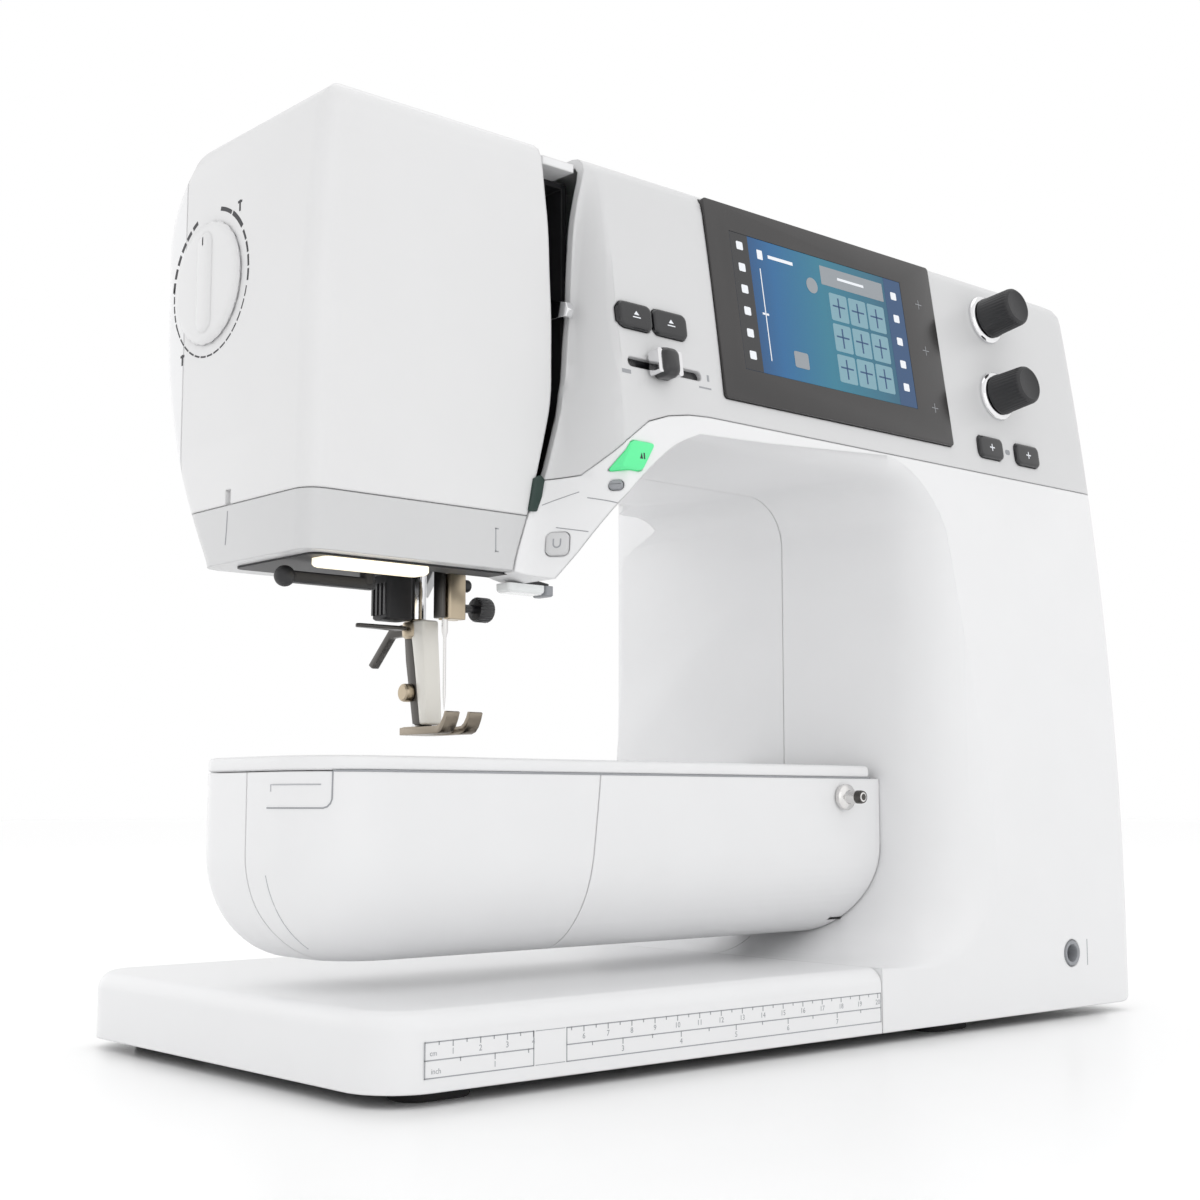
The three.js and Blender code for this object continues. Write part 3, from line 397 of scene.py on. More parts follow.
WHITE = material("white_plastic", (0.815, 0.817, 0.825), 0.34, grain=0.05, coat=0.15, mottle=0.006,
                 round_edges=0.9)
# Panel white: the body's white plastic darkened as painted shade for the front panel.
PANEL_SHADED_WHITE = material("white_plastic_panel_shade", (0.66, 0.662, 0.668), 0.36, grain=0.05, coat=0.1, mottle=0.006,
                       round_edges=0.9)
# Head white: the body's white plastic darkened a little as painted shade for the head; also used on the dial,
# handwheel and lid dimple.
HEAD_SHADED_WHITE = material("white_plastic_head_shade", (0.75, 0.75, 0.755), 0.38, grain=0.05, coat=0.1, mottle=0.006,
                      round_edges=1.2)
STRIP = material("strip_plastic", (0.62, 0.622, 0.628), 0.36, grain=0.05, coat=0.15, mottle=0.008,
                 round_edges=0.8)
BLACK = material("black_plastic", (0.012, 0.012, 0.014), 0.28, grain=0.12, coat=0.3, mottle=0.1)
SATIN_BLACK = material("satin_black_plastic", (0.02, 0.02, 0.022), 0.5, grain=0.3, mottle=0.1)
BEZEL = material("bezel_gloss", (0.022, 0.020, 0.020), 0.2, coat=0.25, mottle=0.1)
RUBBER = material("rubber", (0.02, 0.02, 0.02), 0.85, grain=0.5, grain_scale=1500, mottle=0.15)
STEEL = material("polished_steel", (0.72, 0.71, 0.70), 0.2, 1.0, grain=0.15, mottle=0.03, brushed=True)
CHROME = material("chrome", (0.82, 0.82, 0.83), 0.09, 1.0, grain=0.03, mottle=0.02)
DARK_STEEL = material("dark_steel", (0.10, 0.095, 0.09), 0.32, 1.0, grain=0.2, mottle=0.15, brushed=True)
WARM_STEEL = material("warm_steel", (0.50, 0.42, 0.31), 0.3, 1.0, grain=0.15, mottle=0.06, brushed=True)
SOLE_STEEL = material("sole_steel", (0.30, 0.26, 0.21), 0.3, 1.0, grain=0.2, mottle=0.1, brushed=True)
CREAM = material("cream_coating", (0.90, 0.88, 0.82), 0.3, grain=0.05, coat=0.4, mottle=0.02)
CASTING = material("cast_aluminium", (0.45, 0.46, 0.48), 0.55, 0.8, grain=0.8, grain_scale=500, mottle=0.08)
PAINTED = material("painted_plate", (0.10, 0.105, 0.11), 0.5, grain=0.4, mottle=0.08)
GREY = material("grey_plastic", (0.30, 0.31, 0.33), 0.4, grain=0.1, mottle=0.03)
# Grey for real print, and also for dark lines that stand for painted shade in grooves, creases and the gap
# under the arm's lip.
PRINT_AND_SHADE = material("print_and_shade_grey", (0.33, 0.34, 0.36), 0.5, mottle=0.03)
# Grey for lines that are painted shade in the flap's finger recess and crease.
SHADE_LINE_GREY = material("painted_shade_line_grey", (0.45, 0.46, 0.48), 0.5, mottle=0.02)
DARK_GREEN = material("dark_green_plastic", (0.012, 0.035, 0.028), 0.35, grain=0.1, mottle=0.08)
PRINT_BLACK = material("printed_black", (0.03, 0.03, 0.035), 0.5, mottle=0.03)
# White icons with a faint glow: real light on the lit screen, painted light on the printed key signs.
GLOWING_ICON = material("glowing_icon_white", (0.75, 0.77, 0.8), 0.4, mottle=0.01, glow=(0.85, 0.9, 1.0), glow_strength=0.12)
GREEN = material("lit_green", (0.07, 0.58, 0.21), 0.4, mottle=0.02, glow=(0.11, 0.62, 0.29),
                 glow_strength=0.5)
LENS = material("lit_lens", (0.85, 0.80, 0.66), 0.3, mottle=0.02, glow=(1.0, 0.88, 0.66), glow_strength=0.9)
CLEAR = material("clear_lens", (0.80, 0.82, 0.82), 0.15, mottle=0.02, coat=0.5)
BRASS = material("brass", (0.60, 0.44, 0.20), 0.3, 1.0, grain=0.15, mottle=0.06)
TILE = material("screen_tile", (0.16, 0.29, 0.34), 0.3, mottle=0.02, glow=(0.12, 0.24, 0.30),
                glow_strength=0.3)
TILE_GREY = material("screen_grey", (0.22, 0.24, 0.26), 0.3, mottle=0.02, glow=(0.22, 0.24, 0.26),
                     glow_strength=0.3)
SCREEN_BLUE = material("screen_dark_blue", (0.01, 0.04, 0.10), 0.2, mottle=0.03, glow=(0.02, 0.07, 0.18),
                       glow_strength=0.4)


def screen_gradient():
    """Lit display background that runs from deep blue on its left to teal and dark again."""
    mat = bpy.data.materials.new("screen_gradient")
    mat.use_nodes = True
    nodes, links = mat.node_tree.nodes, mat.node_tree.links
    shader = nodes["Principled BSDF"]
    place = nodes.new("ShaderNodeTexCoord")
    split = nodes.new("ShaderNodeSeparateXYZ")
    links.new(place.outputs["Object"], split.inputs["Vector"])
    span = nodes.new("ShaderNodeMapRange")
    middle = DISPLAY["x"] + SCREEN["x"]
    span.inputs["From Min"].default_value = (middle - SCREEN["width"] / 2) * MM
    span.inputs["From Max"].default_value = (middle + SCREEN["width"] / 2) * MM
    links.new(split.outputs["X"], span.inputs["Value"])
    ramp = nodes.new("ShaderNodeValToRGB")
    ramp.color_ramp.elements[0].color = (0.006, 0.03, 0.10, 1)
    ramp.color_ramp.elements[1].color = (0.008, 0.05, 0.10, 1)
    for position, color in ((0.22, (0.006, 0.08, 0.20, 1)), (0.5, (0.012, 0.12, 0.18, 1)),
                            (0.8, (0.012, 0.09, 0.14, 1))):
        ramp.color_ramp.elements.new(position).color = color
    links.new(span.outputs["Result"], ramp.inputs["Fac"])
    links.new(ramp.outputs["Color"], shader.inputs["Base Color"])
    links.new(ramp.outputs["Color"], shader.inputs["Emission Color"])
    shader.inputs["Emission Strength"].default_value = 0.5
    shader.inputs["Roughness"].default_value = 0.15
    return mat


SCREEN_LIT = screen_gradient()


def finish_piece(obj, mat, body="machine", replaces=()):
    """Gives a piece its material and body, and hides the frame nodes it stands for.

    A piece called NODE_look stands for NODE.
    """
    obj.data.materials.clear()
    obj.data.materials.append(mat)
    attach(obj, body)
    node = obj.name.removesuffix("_look")
    if node != obj.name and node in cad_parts:
        replaces = (node,)
    if replaces:
        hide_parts(*replaces)
    return obj


def merged(name, objects):
    """One object from several, for repeated marks and small groups."""
    work = bmesh.new()
    for obj in objects:
        work.from_mesh(obj.data)
        bpy.data.objects.remove(obj)
    mesh = bpy.data.meshes.new(name)
    work.to_mesh(mesh)
    work.free()
    obj = bpy.data.objects.new(name, mesh)
    bpy.context.scene.collection.objects.link(obj)
    return obj


# ------------------------------------------------------------------ camera, floor and light
CAMERA = dict(place=(-0.480, -0.512, 0.086), tilt=96.625, turn=-41.467, lens=52.72, sensor=36.0)
SOFTBOXES = [((0.5, -1.7, 1.0), 1.6, 1.5), ((0.1, 0.2, 1.9), 1.6, 4.0), ((-0.5, 1.6, 0.4), 1.2, 2.0),
             ((-0.7, -1.5, 0.3), 1.2, 1.8)]
LIGHT_TARGET = (0, 0, 0.16)
FLOOR_REACH = 9000


def make_stage():
    camera_data = bpy.data.cameras.new("camera")
    camera_data.lens, camera_data.sensor_width = CAMERA["lens"], CAMERA["sensor"]
    camera_data.clip_start, camera_data.clip_end = 0.01, 50
    camera = bpy.data.objects.new("camera", camera_data)
    camera.location = CAMERA["place"]
    camera.rotation_euler = (math.radians(CAMERA["tilt"]), 0, math.radians(CAMERA["turn"]))
    bpy.context.scene.collection.objects.link(camera)
    bpy.context.scene.camera = camera

    reach = FLOOR_REACH
    floor = new_object("floor", [(-reach, -reach, 0), (reach, -reach, 0), (reach, reach, 0),
                                 (-reach, reach, 0)],
                       [(0, 1, 2, 3)])
    pale = material("pale_floor", (0.99, 0.99, 0.99), 0.3, mottle=0.002, coat=0.05)
    floor.data.materials.append(pale)

    world = bpy.data.worlds.new("studio")
    world.use_nodes = True
    world.node_tree.nodes["Background"].inputs["Color"].default_value = (1, 1, 1, 1)
    world.node_tree.nodes["Background"].inputs["Strength"].default_value = 1.0
    bpy.context.scene.world = world
    bpy.context.scene.view_settings.view_transform = "Standard"

    for index, (place, size, power) in enumerate(SOFTBOXES):
        data = bpy.data.lights.new(f"softbox_{index}", "AREA")
        data.shape, data.size, data.energy = "SQUARE", size, power
        lamp = bpy.data.objects.new(f"softbox_{index}", data)
        lamp.location = place
        aim = Vector(LIGHT_TARGET) - Vector(place)
        lamp.rotation_euler = aim.to_track_quat("-Z", "Y").to_euler()
        bpy.context.scene.collection.objects.link(lamp)


# ------------------------------------------------------------------ housings
def silhouette(inset):
    """Outline of pillar, arm and head from the front; the inset one runs out through the bottom."""
    floor = -10 if inset else BODY["bottom"]
    left = 10 if inset else BASE["right"]
    slant = [(-108.4, 160.2, -0.6, 0.8), (-104.4, 167.3, -0.87, 0.5), (-97.7, 180.5, -0.87, 0.5),
             (-93, 187.5, -0.77, 0.64), (-86, 194.3, -0.68, 0.73), (-76.5, 202.3, -0.6, 0.8),
             (-67, 209.2, -0.5, 0.87), (THROAT["left"], THROAT["top"], 0, 1)]
    edge = [(x + inset * nx, z + inset * nz) for x, z, nx, nz in slant]
    for _ in range(2):
        edge = [edge[0]] + [(mix(a[0], b[0], t), mix(a[1], b[1], t))
                            for a, b in zip(edge, edge[1:]) for t in (0.25, 0.75)] + [edge[-1]]
    right, top = BODY["right"] - inset, BODY["top"] - inset
    corner, head = 18 - inset, 8 - inset
    outline = [(left, floor)]
    outline += [(right, floor)] if inset else arc(right - 12, floor + 12, 12, 270, 360, 12)
    outline += arc(right - corner, top - corner, corner, 0, 90, 16)
    outline += arc(BODY["left"] + inset + head, top - head, head, 90, 180, 12)
    outline += [(BODY["left"] + inset, HEAD["bottom"] + inset), (-120, HEAD["bottom"] + inset)]
    outline += edge
    outline += arc(PILLAR_INNER - THROAT["corner"], THROAT["top"] - THROAT["corner"],
                   THROAT["corner"] + inset, 90, 0, 16)
    outline += arc(BASE["right"], BASE["top"] + THROAT["foot"], THROAT["foot"] + inset, 0, -90, 24)
    if inset:
        outline.append((left, BASE["top"] - inset))
    return outline


def throat_flare(inset):
    """Cutter that opens the throat to the front, so that pillar and arm have round edges."""
    rings = []
    for angle in np.linspace(0, 90, 6 if inset else 19):
        turn = math.radians(angle)
        y = -60 - (THROAT["flare"] + 1) * math.sin(turn) + inset * 0.7
        side = THROAT["flare"] * (1 - math.cos(turn)) + inset
        lid_at = 84 + THROAT["top_flare"] - 12 - inset * 0.7
        lid = float(edge_drop(np.array(y + lid_at), THROAT["top_flare"])) + inset
        ring = [(THROAT["left"], BASE["top"])]
        for degrees in np.linspace(-90, 0, 13):
            radius = THROAT["foot"] + side * math.cos(math.radians(degrees)) ** 2
            ring += arc(BASE["right"], BASE["top"] + THROAT["foot"], radius, degrees, degrees, 0)
        corner = arc(PILLAR_INNER - THROAT["corner"], THROAT["top"] - THROAT["corner"],
                     THROAT["corner"] + 0.01, 0, 90, 12)
        ring += [(x + side * (1 - i / 12), z + lid * i / 12) for i, (x, z) in enumerate(corner)]
        ring.append((THROAT["left"], THROAT["top"] + inset))
        rings.append([(x, y, z) for x, z in ring])
    return loft("flare", rings)


def stations(low, high, pitch, fine_low, fine_high):
    """Grid stations at a pitch, closer together in the rounded stretches at either end."""
    rounded = 1 - np.cos(np.linspace(0, math.pi / 2, 9))
    return np.unique(np.concatenate([
        low + fine_low * rounded, high - fine_high * rounded,
        np.arange(low + fine_low, high - fine_high, pitch)]).round(4))


def body_solid(inset):
    pitch = 6 if inset else 4
    xs = stations(BODY["left"] + inset, BODY["right"] - inset, pitch, 8, 18)
    xs = np.unique(np.concatenate([xs, np.arange(-125, -76, 1.6), np.arange(56, 74, 1.5)]).round(4))
    zs = stations(-10 if inset else BODY["bottom"], BODY["top"] - inset, pitch, 1, 34)
    body = grid_solid("body", xs, zs, lambda x, z: front_y(x, z, inset), lambda x, z: back_y(x, z, inset))
    keep(body, prism("outline", silhouette(inset), "y", -130, 130))
    return cut(body, throat_flare(inset))


def needle_well():
    return box("well", -147, -101, -44, 2.5, 150, 170)


def threader_hole():
    return turned("hole", [(2.8, 150), (2.8, 180)], 24, Matrix.Translation((*THREADER, 0)))


def arm_port():
    return box("port", 50, 75, ARM["front"] + 12, ARM["back"] - 6, 41, 92)


def start_outline(grow=0.0):
    corners = [(-8.8 - 1.2 * grow, -4.9 - grow), (0.6 + 0.6 * grow, -5.2 - grow),
               (7.6 + 1.6 * grow, 5.2 + grow), (-2.6 - 0.6 * grow, 5.2 + grow)]
    return round_corners(corners, 1.8)


def round_corners(corners, radius, steps=5):
    """Closed outline with each corner replaced by a short curve."""
    points = []
    for i, corner in enumerate(corners):
        here = Vector(corner)
        before = (Vector(corners[i - 1]) - here).normalized() * radius
        after = (Vector(corners[(i + 1) % len(corners)]) - here).normalized() * radius
        for t in np.linspace(0, 1, steps):
            curved = (here + before) * (1 - t) ** 2 + here * 2 * t * (1 - t) + (here + after) * t ** 2
            points.append(tuple(curved))
    return points


def key_hole(x, z, half_width, half_height, corner, depth=9):
    outline = rounded_rect(-half_width, half_width, -half_height, half_height, corner, 8)
    return prism("hole", outline, "z", -depth, 9, surface_frame(x, z))


def panel_holes():
    holes = [key_hole(x, z, w + GAP, h + GAP, r + GAP) for x, z, w, h, r in BUTTONS.values()]
    holes += [turned("hole", [(KNOB["stem"] + GAP, -9), (KNOB["stem"] + GAP, 9)], 32, surface_frame(x, z))
              for x, z in KNOBS.values()]
    holes.append(key_hole(DISPLAY["x"], DISPLAY["z"], DISPLAY["width"] / 2 + GAP,
                          DISPLAY["height"] / 2 + GAP, 1.6))
    middle = (SLIDER["left"] + SLIDER["right"]) / 2
    holes.append(key_hole(middle, SLIDER["z"], (SLIDER["right"] - SLIDER["left"]) / 2, SLIDER["slot"] / 2,
                          1.7))
    return holes


def lower_holes():
    return [prism("hole", start_outline(GAP), "z", -9, 9, surface_frame(*START)),
            key_hole(*OVAL, 2.4 + GAP, 1.7 + GAP, 1.5 + GAP, KEY_HOLE),
            key_hole(*REVERSE, 4 + GAP, 4 + GAP, 2 + GAP, KEY_HOLE)]


def border(pairs, low, high):
    heights = np.linspace(low, high, 40)
    return [(float(soft_along(pairs, z)), z) for z in heights]


def make_body_housings():
    shell = cut(body_solid(0), body_solid(WALL))
    half = GAP / 2
    seam = [(-105.5, 195), (-98.5, 196), (-95.4, 200), (-90.5, 207), (-79.6, 215.2), (-70, 218.5),
            (-60, 220.3), (-50, PANEL_SEAM), (200, PANEL_SEAM)]

    panel = copy_of(shell, "front_panel_look")
    edge = border(SLOT_RIGHT, 195.5, 310)[::-1]
    region = [(x, z + half) for x, z in seam] + [(200, 330), (-95, 330)] + edge
    keep(panel, prism("region", region, "y", -130, TOP_SPLIT - half))
    cut(panel, *panel_holes())
    finish_piece(smooth(biggest_part(panel)), PANEL_SHADED_WHITE)

    lower = copy_of(shell, "front_housing_look")
    edge = border(SLOT_RIGHT, 163, 194.5)
    region = edge + [(x, z - half) for x, z in seam] + [(200, -20), (10, -20), (10, 140), (-119, 140)]
    keep(lower, prism("region", region, "y", -130, HOUSING_SPLIT - half))
    socket = turned("hole", [(SOCKET["radius"] + GAP, 0), (SOCKET["radius"] + GAP, 40)], 32,
                    towards((0, 1, 0), (SOCKET["x"], -110, SOCKET["z"])))
    cut(lower, *lower_holes(), needle_well(), arm_port(), socket)
    finish_piece(smooth(biggest_part(lower)), WHITE)

    head = copy_of(shell, "head")
    edge = border(SLOT_LEFT, 163, 308)
    front = prism("front", [(-220, 330), (-220, 150)] + edge + [(-115.7, 330)], "y", -130, TOP_SPLIT)
    union(front, box("left", -220, -115.7, -60, HEAD["cover_back"], 186, 330),
          box("low", -220, -121, -60, HEAD["cover_back"], 150, 186.1),
          box("back", -220, -115.7, HOUSING_SPLIT, HEAD["cover_back"], 150, 186.1))
    keep(head, front)
    strip = copy_of(head, "head_strip_look")
    head.name = "head_cover_look"
    keep(head, box("above", -230, -90, -130, 60, HEAD["strip_top"] + half, 340))
    dial_hole = turned("hole", [(4.3, -5), (4.3, 15)], 32,
                       towards((1, 0, 0), (BODY["left"], DIAL["y"], DIAL["z"])))
    cut(head, dial_hole, box("notch", -210, -197, -14, -11, 180, 187))
    finish_piece(smooth(biggest_part(head)), HEAD_SHADED_WHITE)
    keep(strip, box("below", -230, -90, -130, 60, 140, HEAD["strip_top"] - half))
    cut(strip, needle_well(), threader_hole())
    finish_piece(smooth(biggest_part(strip)), STRIP, replaces=("head_lower_strip",))

    rear = shell
    rear.name = "rear_housing_look"
    inlet_low, inlet_high = node_box("power_inlet")
    switch_low, switch_high = node_box("power_switch")
    lid_low, lid_high = node_box("top_cover")
    vents = [box("vent", 100, 150, 70, 110, z, z + 3) for z in np.arange(235, 276, 6.0)]
    cut(rear, box("head", -230, -115.4, -130, HEAD["cover_back"] + GAP, 140, 340),
        box("lower", -115.6, 210, -130, HOUSING_SPLIT + half, -20, PANEL_SEAM + half),
        box("upper", -115.6, 210, -130, TOP_SPLIT + half, PANEL_SEAM - half, 340),
        needle_well(), arm_port(), box("lifter", -105.5, -90.5, 0.4, 30, 150, 191),
        turned("hole", [(5.3, 180), (5.3, 200)], 32, towards((1, 0, 0), (0, *SHAFT))),
        box("inlet", 180, 200, inlet_low[1] - GAP, inlet_high[1] + GAP,
            inlet_low[2] - GAP, inlet_high[2] + GAP),
        box("switch", 180, 200, switch_low[1] - GAP, switch_high[1] + GAP,
            switch_low[2] - 1.3, switch_high[2] + 1.3),
        box("lid", lid_low[0] - GAP, lid_high[0] + GAP, lid_low[1] - GAP, lid_high[1] + GAP, 300, 320),
        box("winder", 158.4, 167.6, 44.4, 49.6, 300, 320), *vents)
    biggest_part(rear)
    union(rear, *[box("lug", x, x + LUG["width"], LUG["y0"], LUG["y1"], 300, LUG["top"]) for x in LUG["x"]])
    finish_piece(smooth(rear), WHITE)


def slab(name, inset, bottom):
    """Base slab with a round upper edge; the inset one is its hollow."""
    drop = 1 - np.cos(np.linspace(0, math.pi / 2, 12))
    rise = np.sin(np.linspace(0, math.pi / 2, 12))
    levels = [(bottom, 0.0)] + [(21 + 6 * r, BASE["edge"] * d) for r, d in zip(rise, drop)]
    rings = []
    for z, draw in levels:
        drawn = draw + inset
        corner = max(4, BASE["corner"] - drawn)
        right = BASE["right"] - GAP + (10 if inset else 0)
        height = z - (inset if inset and z > 20 else 0)
        outline = rounded_rect(BASE["left"] + drawn, right, BODY["front"] + drawn, BODY["back"] - drawn,
                               (corner, 0.5, 0.5, corner), 14)
        rings.append([(x, y, height) for x, y in outline])
    return loft(name, rings)


def make_base():
    base = cut(slab("base_cover_look", 0, BASE["bottom"]), slab("hollow", 2.5, -5))
    finish_piece(smooth(base), WHITE)


def arm_solid(name, inset):
    """Free arm with its round underside; the inset one is its hollow, open at the top and right."""
    roundness = 34
    top = ARM["top"] + (5 if inset else 0)
    rises = roundness * (1 - np.cos(np.linspace(0, math.pi / 2, 20)))
    levels = list(ARM["bottom"] + inset + rises)
    levels += list(np.linspace(ARM["bottom"] + inset + roundness + 5, top, 5))
    rings = []
    for z in levels:
        drop = float(edge_drop(np.array(z - ARM["bottom"] - inset), roundness)) * 0.8
        outline = rounded_rect(ARM["left"] + inset + drop, ARM["right"] + (5 if inset else 0),
                               ARM["front"] + inset + drop, ARM["back"] - inset - drop * 0.7,
                               (26 - drop * 0.4, 0.5, 0.5, 14 - drop * 0.35), 16)
        rings.append([(x, y, z) for x, y in outline])
    return loft(name, rings)


def foot_cutter(radius):
    """Round foot of the pillar, grown, which the arm's underside clears."""
    centre = BASE["top"] + THROAT["foot"]
    outline = arc(BASE["right"], centre, radius, 0, -90, 24) + [(90, centre - radius), (90, centre)]
    return prism("foot", outline, "y", -120, 120)


def flap_region(gap):
    seam_side = [(FLAP["end_seam"], 68), (-18.4, 62), (-19, 56), (-20.2, 51), (-22.2, 46), (-25, 41),
                 (-29, 36),
                 (-34, 30)]
    side = [(-70, 101), (FLAP["end_seam"] - gap, 101)] + [(y - gap, z) for y, z in seam_side] + [(-70, 30)]
    seam = FLAP["seam"] - gap
    front = [(-205, 25), (seam - 6, 25), (seam - 5.4, 45), (seam - 3.4, 66), (seam - 0.8, 88), (seam, 96),
             (seam, 110), (-205, 110)]
    return keep(prism("region", side, "x", -205, FLAP["seam"]), prism("region", front, "y", -75, 0))


def make_free_arm():
    clearance = THROAT["foot"] - 2 * GAP
    shell = cut(arm_solid("arm", 0), foot_cutter(clearance))
    cut(shell, cut(arm_solid("hollow", 2.5), foot_cutter(clearance - 2.5)))
    flap = copy_of(shell, "bobbin_flap_look")
    keep(flap, flap_region(GAP))
    finish_piece(smooth(biggest_part(flap)), WHITE, "bobbin_flap")
    shell.name = "free_arm_look"
    pin_hole = turned("hole", [(2.6, 0), (2.6, 20)], 24, towards((0, 1, 0), (45.3, -70, 88.7)))
    cut(shell, flap_region(0), pin_hole, arm_port(), box("notch", -200, -188, 8, 14, 88, 92))
    finish_piece(smooth(biggest_part(shell)), WHITE, replaces=("free_arm_shell",))

    levels = [(ARM["top"] + GAP, 0.9), (ARM["top"] + 0.8, 0.2), (ARM["top"] + 1.6, 0),
              (ARM["bed_top"] - 1.6, 0),
              (ARM["bed_top"] - 0.7, 0.3), (ARM["bed_top"] - 0.2, 0.8), (ARM["bed_top"], 1.6)]
    rings = [[(x, y, z) for x, y in rounded_rect(ARM["left"] + d, 62 - d, ARM["front"] + d, ARM["back"] - d,
                                                 (26 - d, 2, 2, 14 - d), 16)] for z, d in levels]
    bed = loft("bed_look", rings)
    low, high = node_box("needle_plate")
    cut(bed, box("plate", low[0] - GAP, high[0] + GAP, low[1] - GAP, high[1] + GAP, 90, 110))
    finish_piece(smooth(bed, 25), WHITE, replaces=("free_arm_top",))


# ------------------------------------------------------------------ controls
def mark(name, outline, matrix, height=0.06, lift=0.0):
    """Thin printed or raised mark on a surface."""
    return prism(name, outline, "z", lift, lift + height, matrix)


def bar(x0, x1, y0, y1):
    return [(x0, y0), (x1, y0), (x1, y1), (x0, y1)]


def make_keys():
    for name, (x, z, w, h, r) in BUTTONS.items():
        levels = [(-6, 0), (0.9, 0), (1.3, 0.2), (1.55, 0.6), (1.6, 1.2)]
        key = rounded_block(name + "_look", (-w, w, -h, h), r, levels, 8, surface_frame(x, z), 0.6)
        finish_piece(smooth(key, 50), BLACK, name)
        sign = [bar(-1.6, 1.6, -0.25, 0.25), bar(-0.25, 0.25, -1.5, 1.5)] if "pattern" in name else \
            [bar(-1.8, 1.8, -0.9, -0.5), [(-1.2, 0.2), (1.2, 0.2), (0, 1.6)]]
        # The key signs are print, so the faint glow of their icon material is painted light.
        signs = merged(name + "_sign", [mark("sign", part, surface_frame(x, z), 0.05, 1.6) for part in sign])
        finish_piece(signs, GLOWING_ICON, name)
    spot = surface_frame(128.2, 232.5)
    light = merged("pattern_light", [mark("part", rounded_rect(-1.6, 1.6, -1.1, 1.1, 1.0, 6), spot)])
    finish_piece(light, GREY)

    start = loft("start_stop_look", [[(u * k, v * k, level) for u, v in start_outline()]
                                     for level, k in ((-6, 1), (0.7, 1), (1.05, 0.97), (1.2, 0.92))],
                 surface_frame(*START))
    finish_piece(smooth(start, 50), GREEN, "button_start_stop", replaces=("button_start_stop",))
    triangle = [(-0.4, -1.1), (1.0, -1.1), (0.6, 1.1)]
    sign = merged("start_sign", [mark("part", outline, surface_frame(*START), 0.05, 1.2)
                                 for outline in (triangle, bar(1.4, 2.0, -1.1, 1.1))])
    finish_piece(sign, PRINT_BLACK, "button_start_stop")
    for name, place, (w, h, r), mat, slot in (("button_oval", OVAL, (2.4, 1.7, 1.5), GREY, "grey_plastic"),
                                              ("button_reverse", REVERSE, (4, 4, 2), STRIP, "white_shell")):
        levels = ((-2.4, 0), (0.5, 0), (0.85, 0.25), (1.0, 0.7))
        key = rounded_block(name + "_look", (-w, w, -h, h), r, levels, 8, surface_frame(*place), 0.6)
        finish_piece(smooth(key, 50), mat, name)
    loop = arc(0, -0.2, 1.5, 180, 360, 16) + [(1.5, 1.6), (1.0, 1.6)] + arc(0, -0.2, 1.0, 360, 180, 16) \
        + [(-1.0, 1.6), (-1.5, 1.6)]
    sign = merged("reverse_sign", [mark("a", loop, surface_frame(*REVERSE), 0.05, 1.0)])
    finish_piece(sign, PRINT_AND_SHADE, "button_reverse")


def make_knobs():
    r, base, length = KNOB["radius"], KNOB["base"], KNOB["length"]
    profile = [(KNOB["stem"], -8), (KNOB["stem"], base), (r + 0.2, base), (r + 0.4, base + 0.3),
               (r + 0.3, base + 1.6),
               (r + 0.1, base + 2), (r - 0.2, length - 1.6), (r - 0.5, length - 0.7),
               (r - 1.1, length - 0.15),
               (r - 1.7, length), (r - 2.3, length - 0.35), (0.4, length - 0.45)]

    def ridges(angle, radius, height):
        deep = base + 2 < height < length - 1 and radius > 5
        return radius - 0.32 * (0.5 + 0.5 * math.cos(36 * angle)) ** 2 if deep else radius

    for name, (x, z) in KNOBS.items():
        knob = turned(name + "_look", profile, 216, surface_frame(x, z), ridges)
        finish_piece(smooth(knob, 40), SATIN_BLACK, name)
        ring_profile = [(3.4, 0.02), (10.3, 0.02), (10.6, 0.6), (10.4, 1.5), (9.6, 2.2), (9.0, 2.4),
                        (3.4, 2.4)]
        ring = turned(name + "_ring", ring_profile + ring_profile[:1], 96, surface_frame(x, z))
        finish_piece(smooth(ring, 40), CHROME)


def make_slider():
    place = surface_frame(SLIDER["x"], SLIDER["z"])
    stem = box("stem", -1.6, 1.6, -1.5, 1.5, -8, 2, place)
    levels = ((1.2, 0.3), (1.6, 0), (5.2, 0), (6.8, 0.5), (7.6, 1.2), (8, 2.2))
    knob = union(rounded_block("speed_slider_look", (-4.2, 4.2, -5.2, 5.2), 2.5, levels, 10, place, 0.5),
                 stem)
    finish_piece(smooth(knob, 40), BLACK, "speed_slider")
    caps = [rounded_block("cap", (side - 1.1, side + 1.1, -4.4, 4.4), 1.0, ((1.4, 0), (6.3, 0)), 8, place)
            for side in (-4.6, 4.6)]
    finish_piece(smooth(merged("slider_caps", caps), 40), CHROME, "speed_slider")
    base = surface_frame((SLIDER["left"] + SLIDER["right"]) / 2, SLIDER["z"])
    bed = rounded_block("slider_bed", (-18.5, 18.5, -2.6, 2.6), 2.4, ((-2.4, 0), (-2.0, 0)), 10, base)
    finish_piece(bed, BLACK)
    ticks = [mark("tick", bar(-20.5, -16.5, -4.6, -3.2), base), mark("tick", bar(16, 22, -4.2, -3.6), base),
             mark("tick", bar(20.4, 21.4, -1.2, 1.2), base)]
    finish_piece(merged("slider_marks", ticks), PRINT_AND_SHADE)


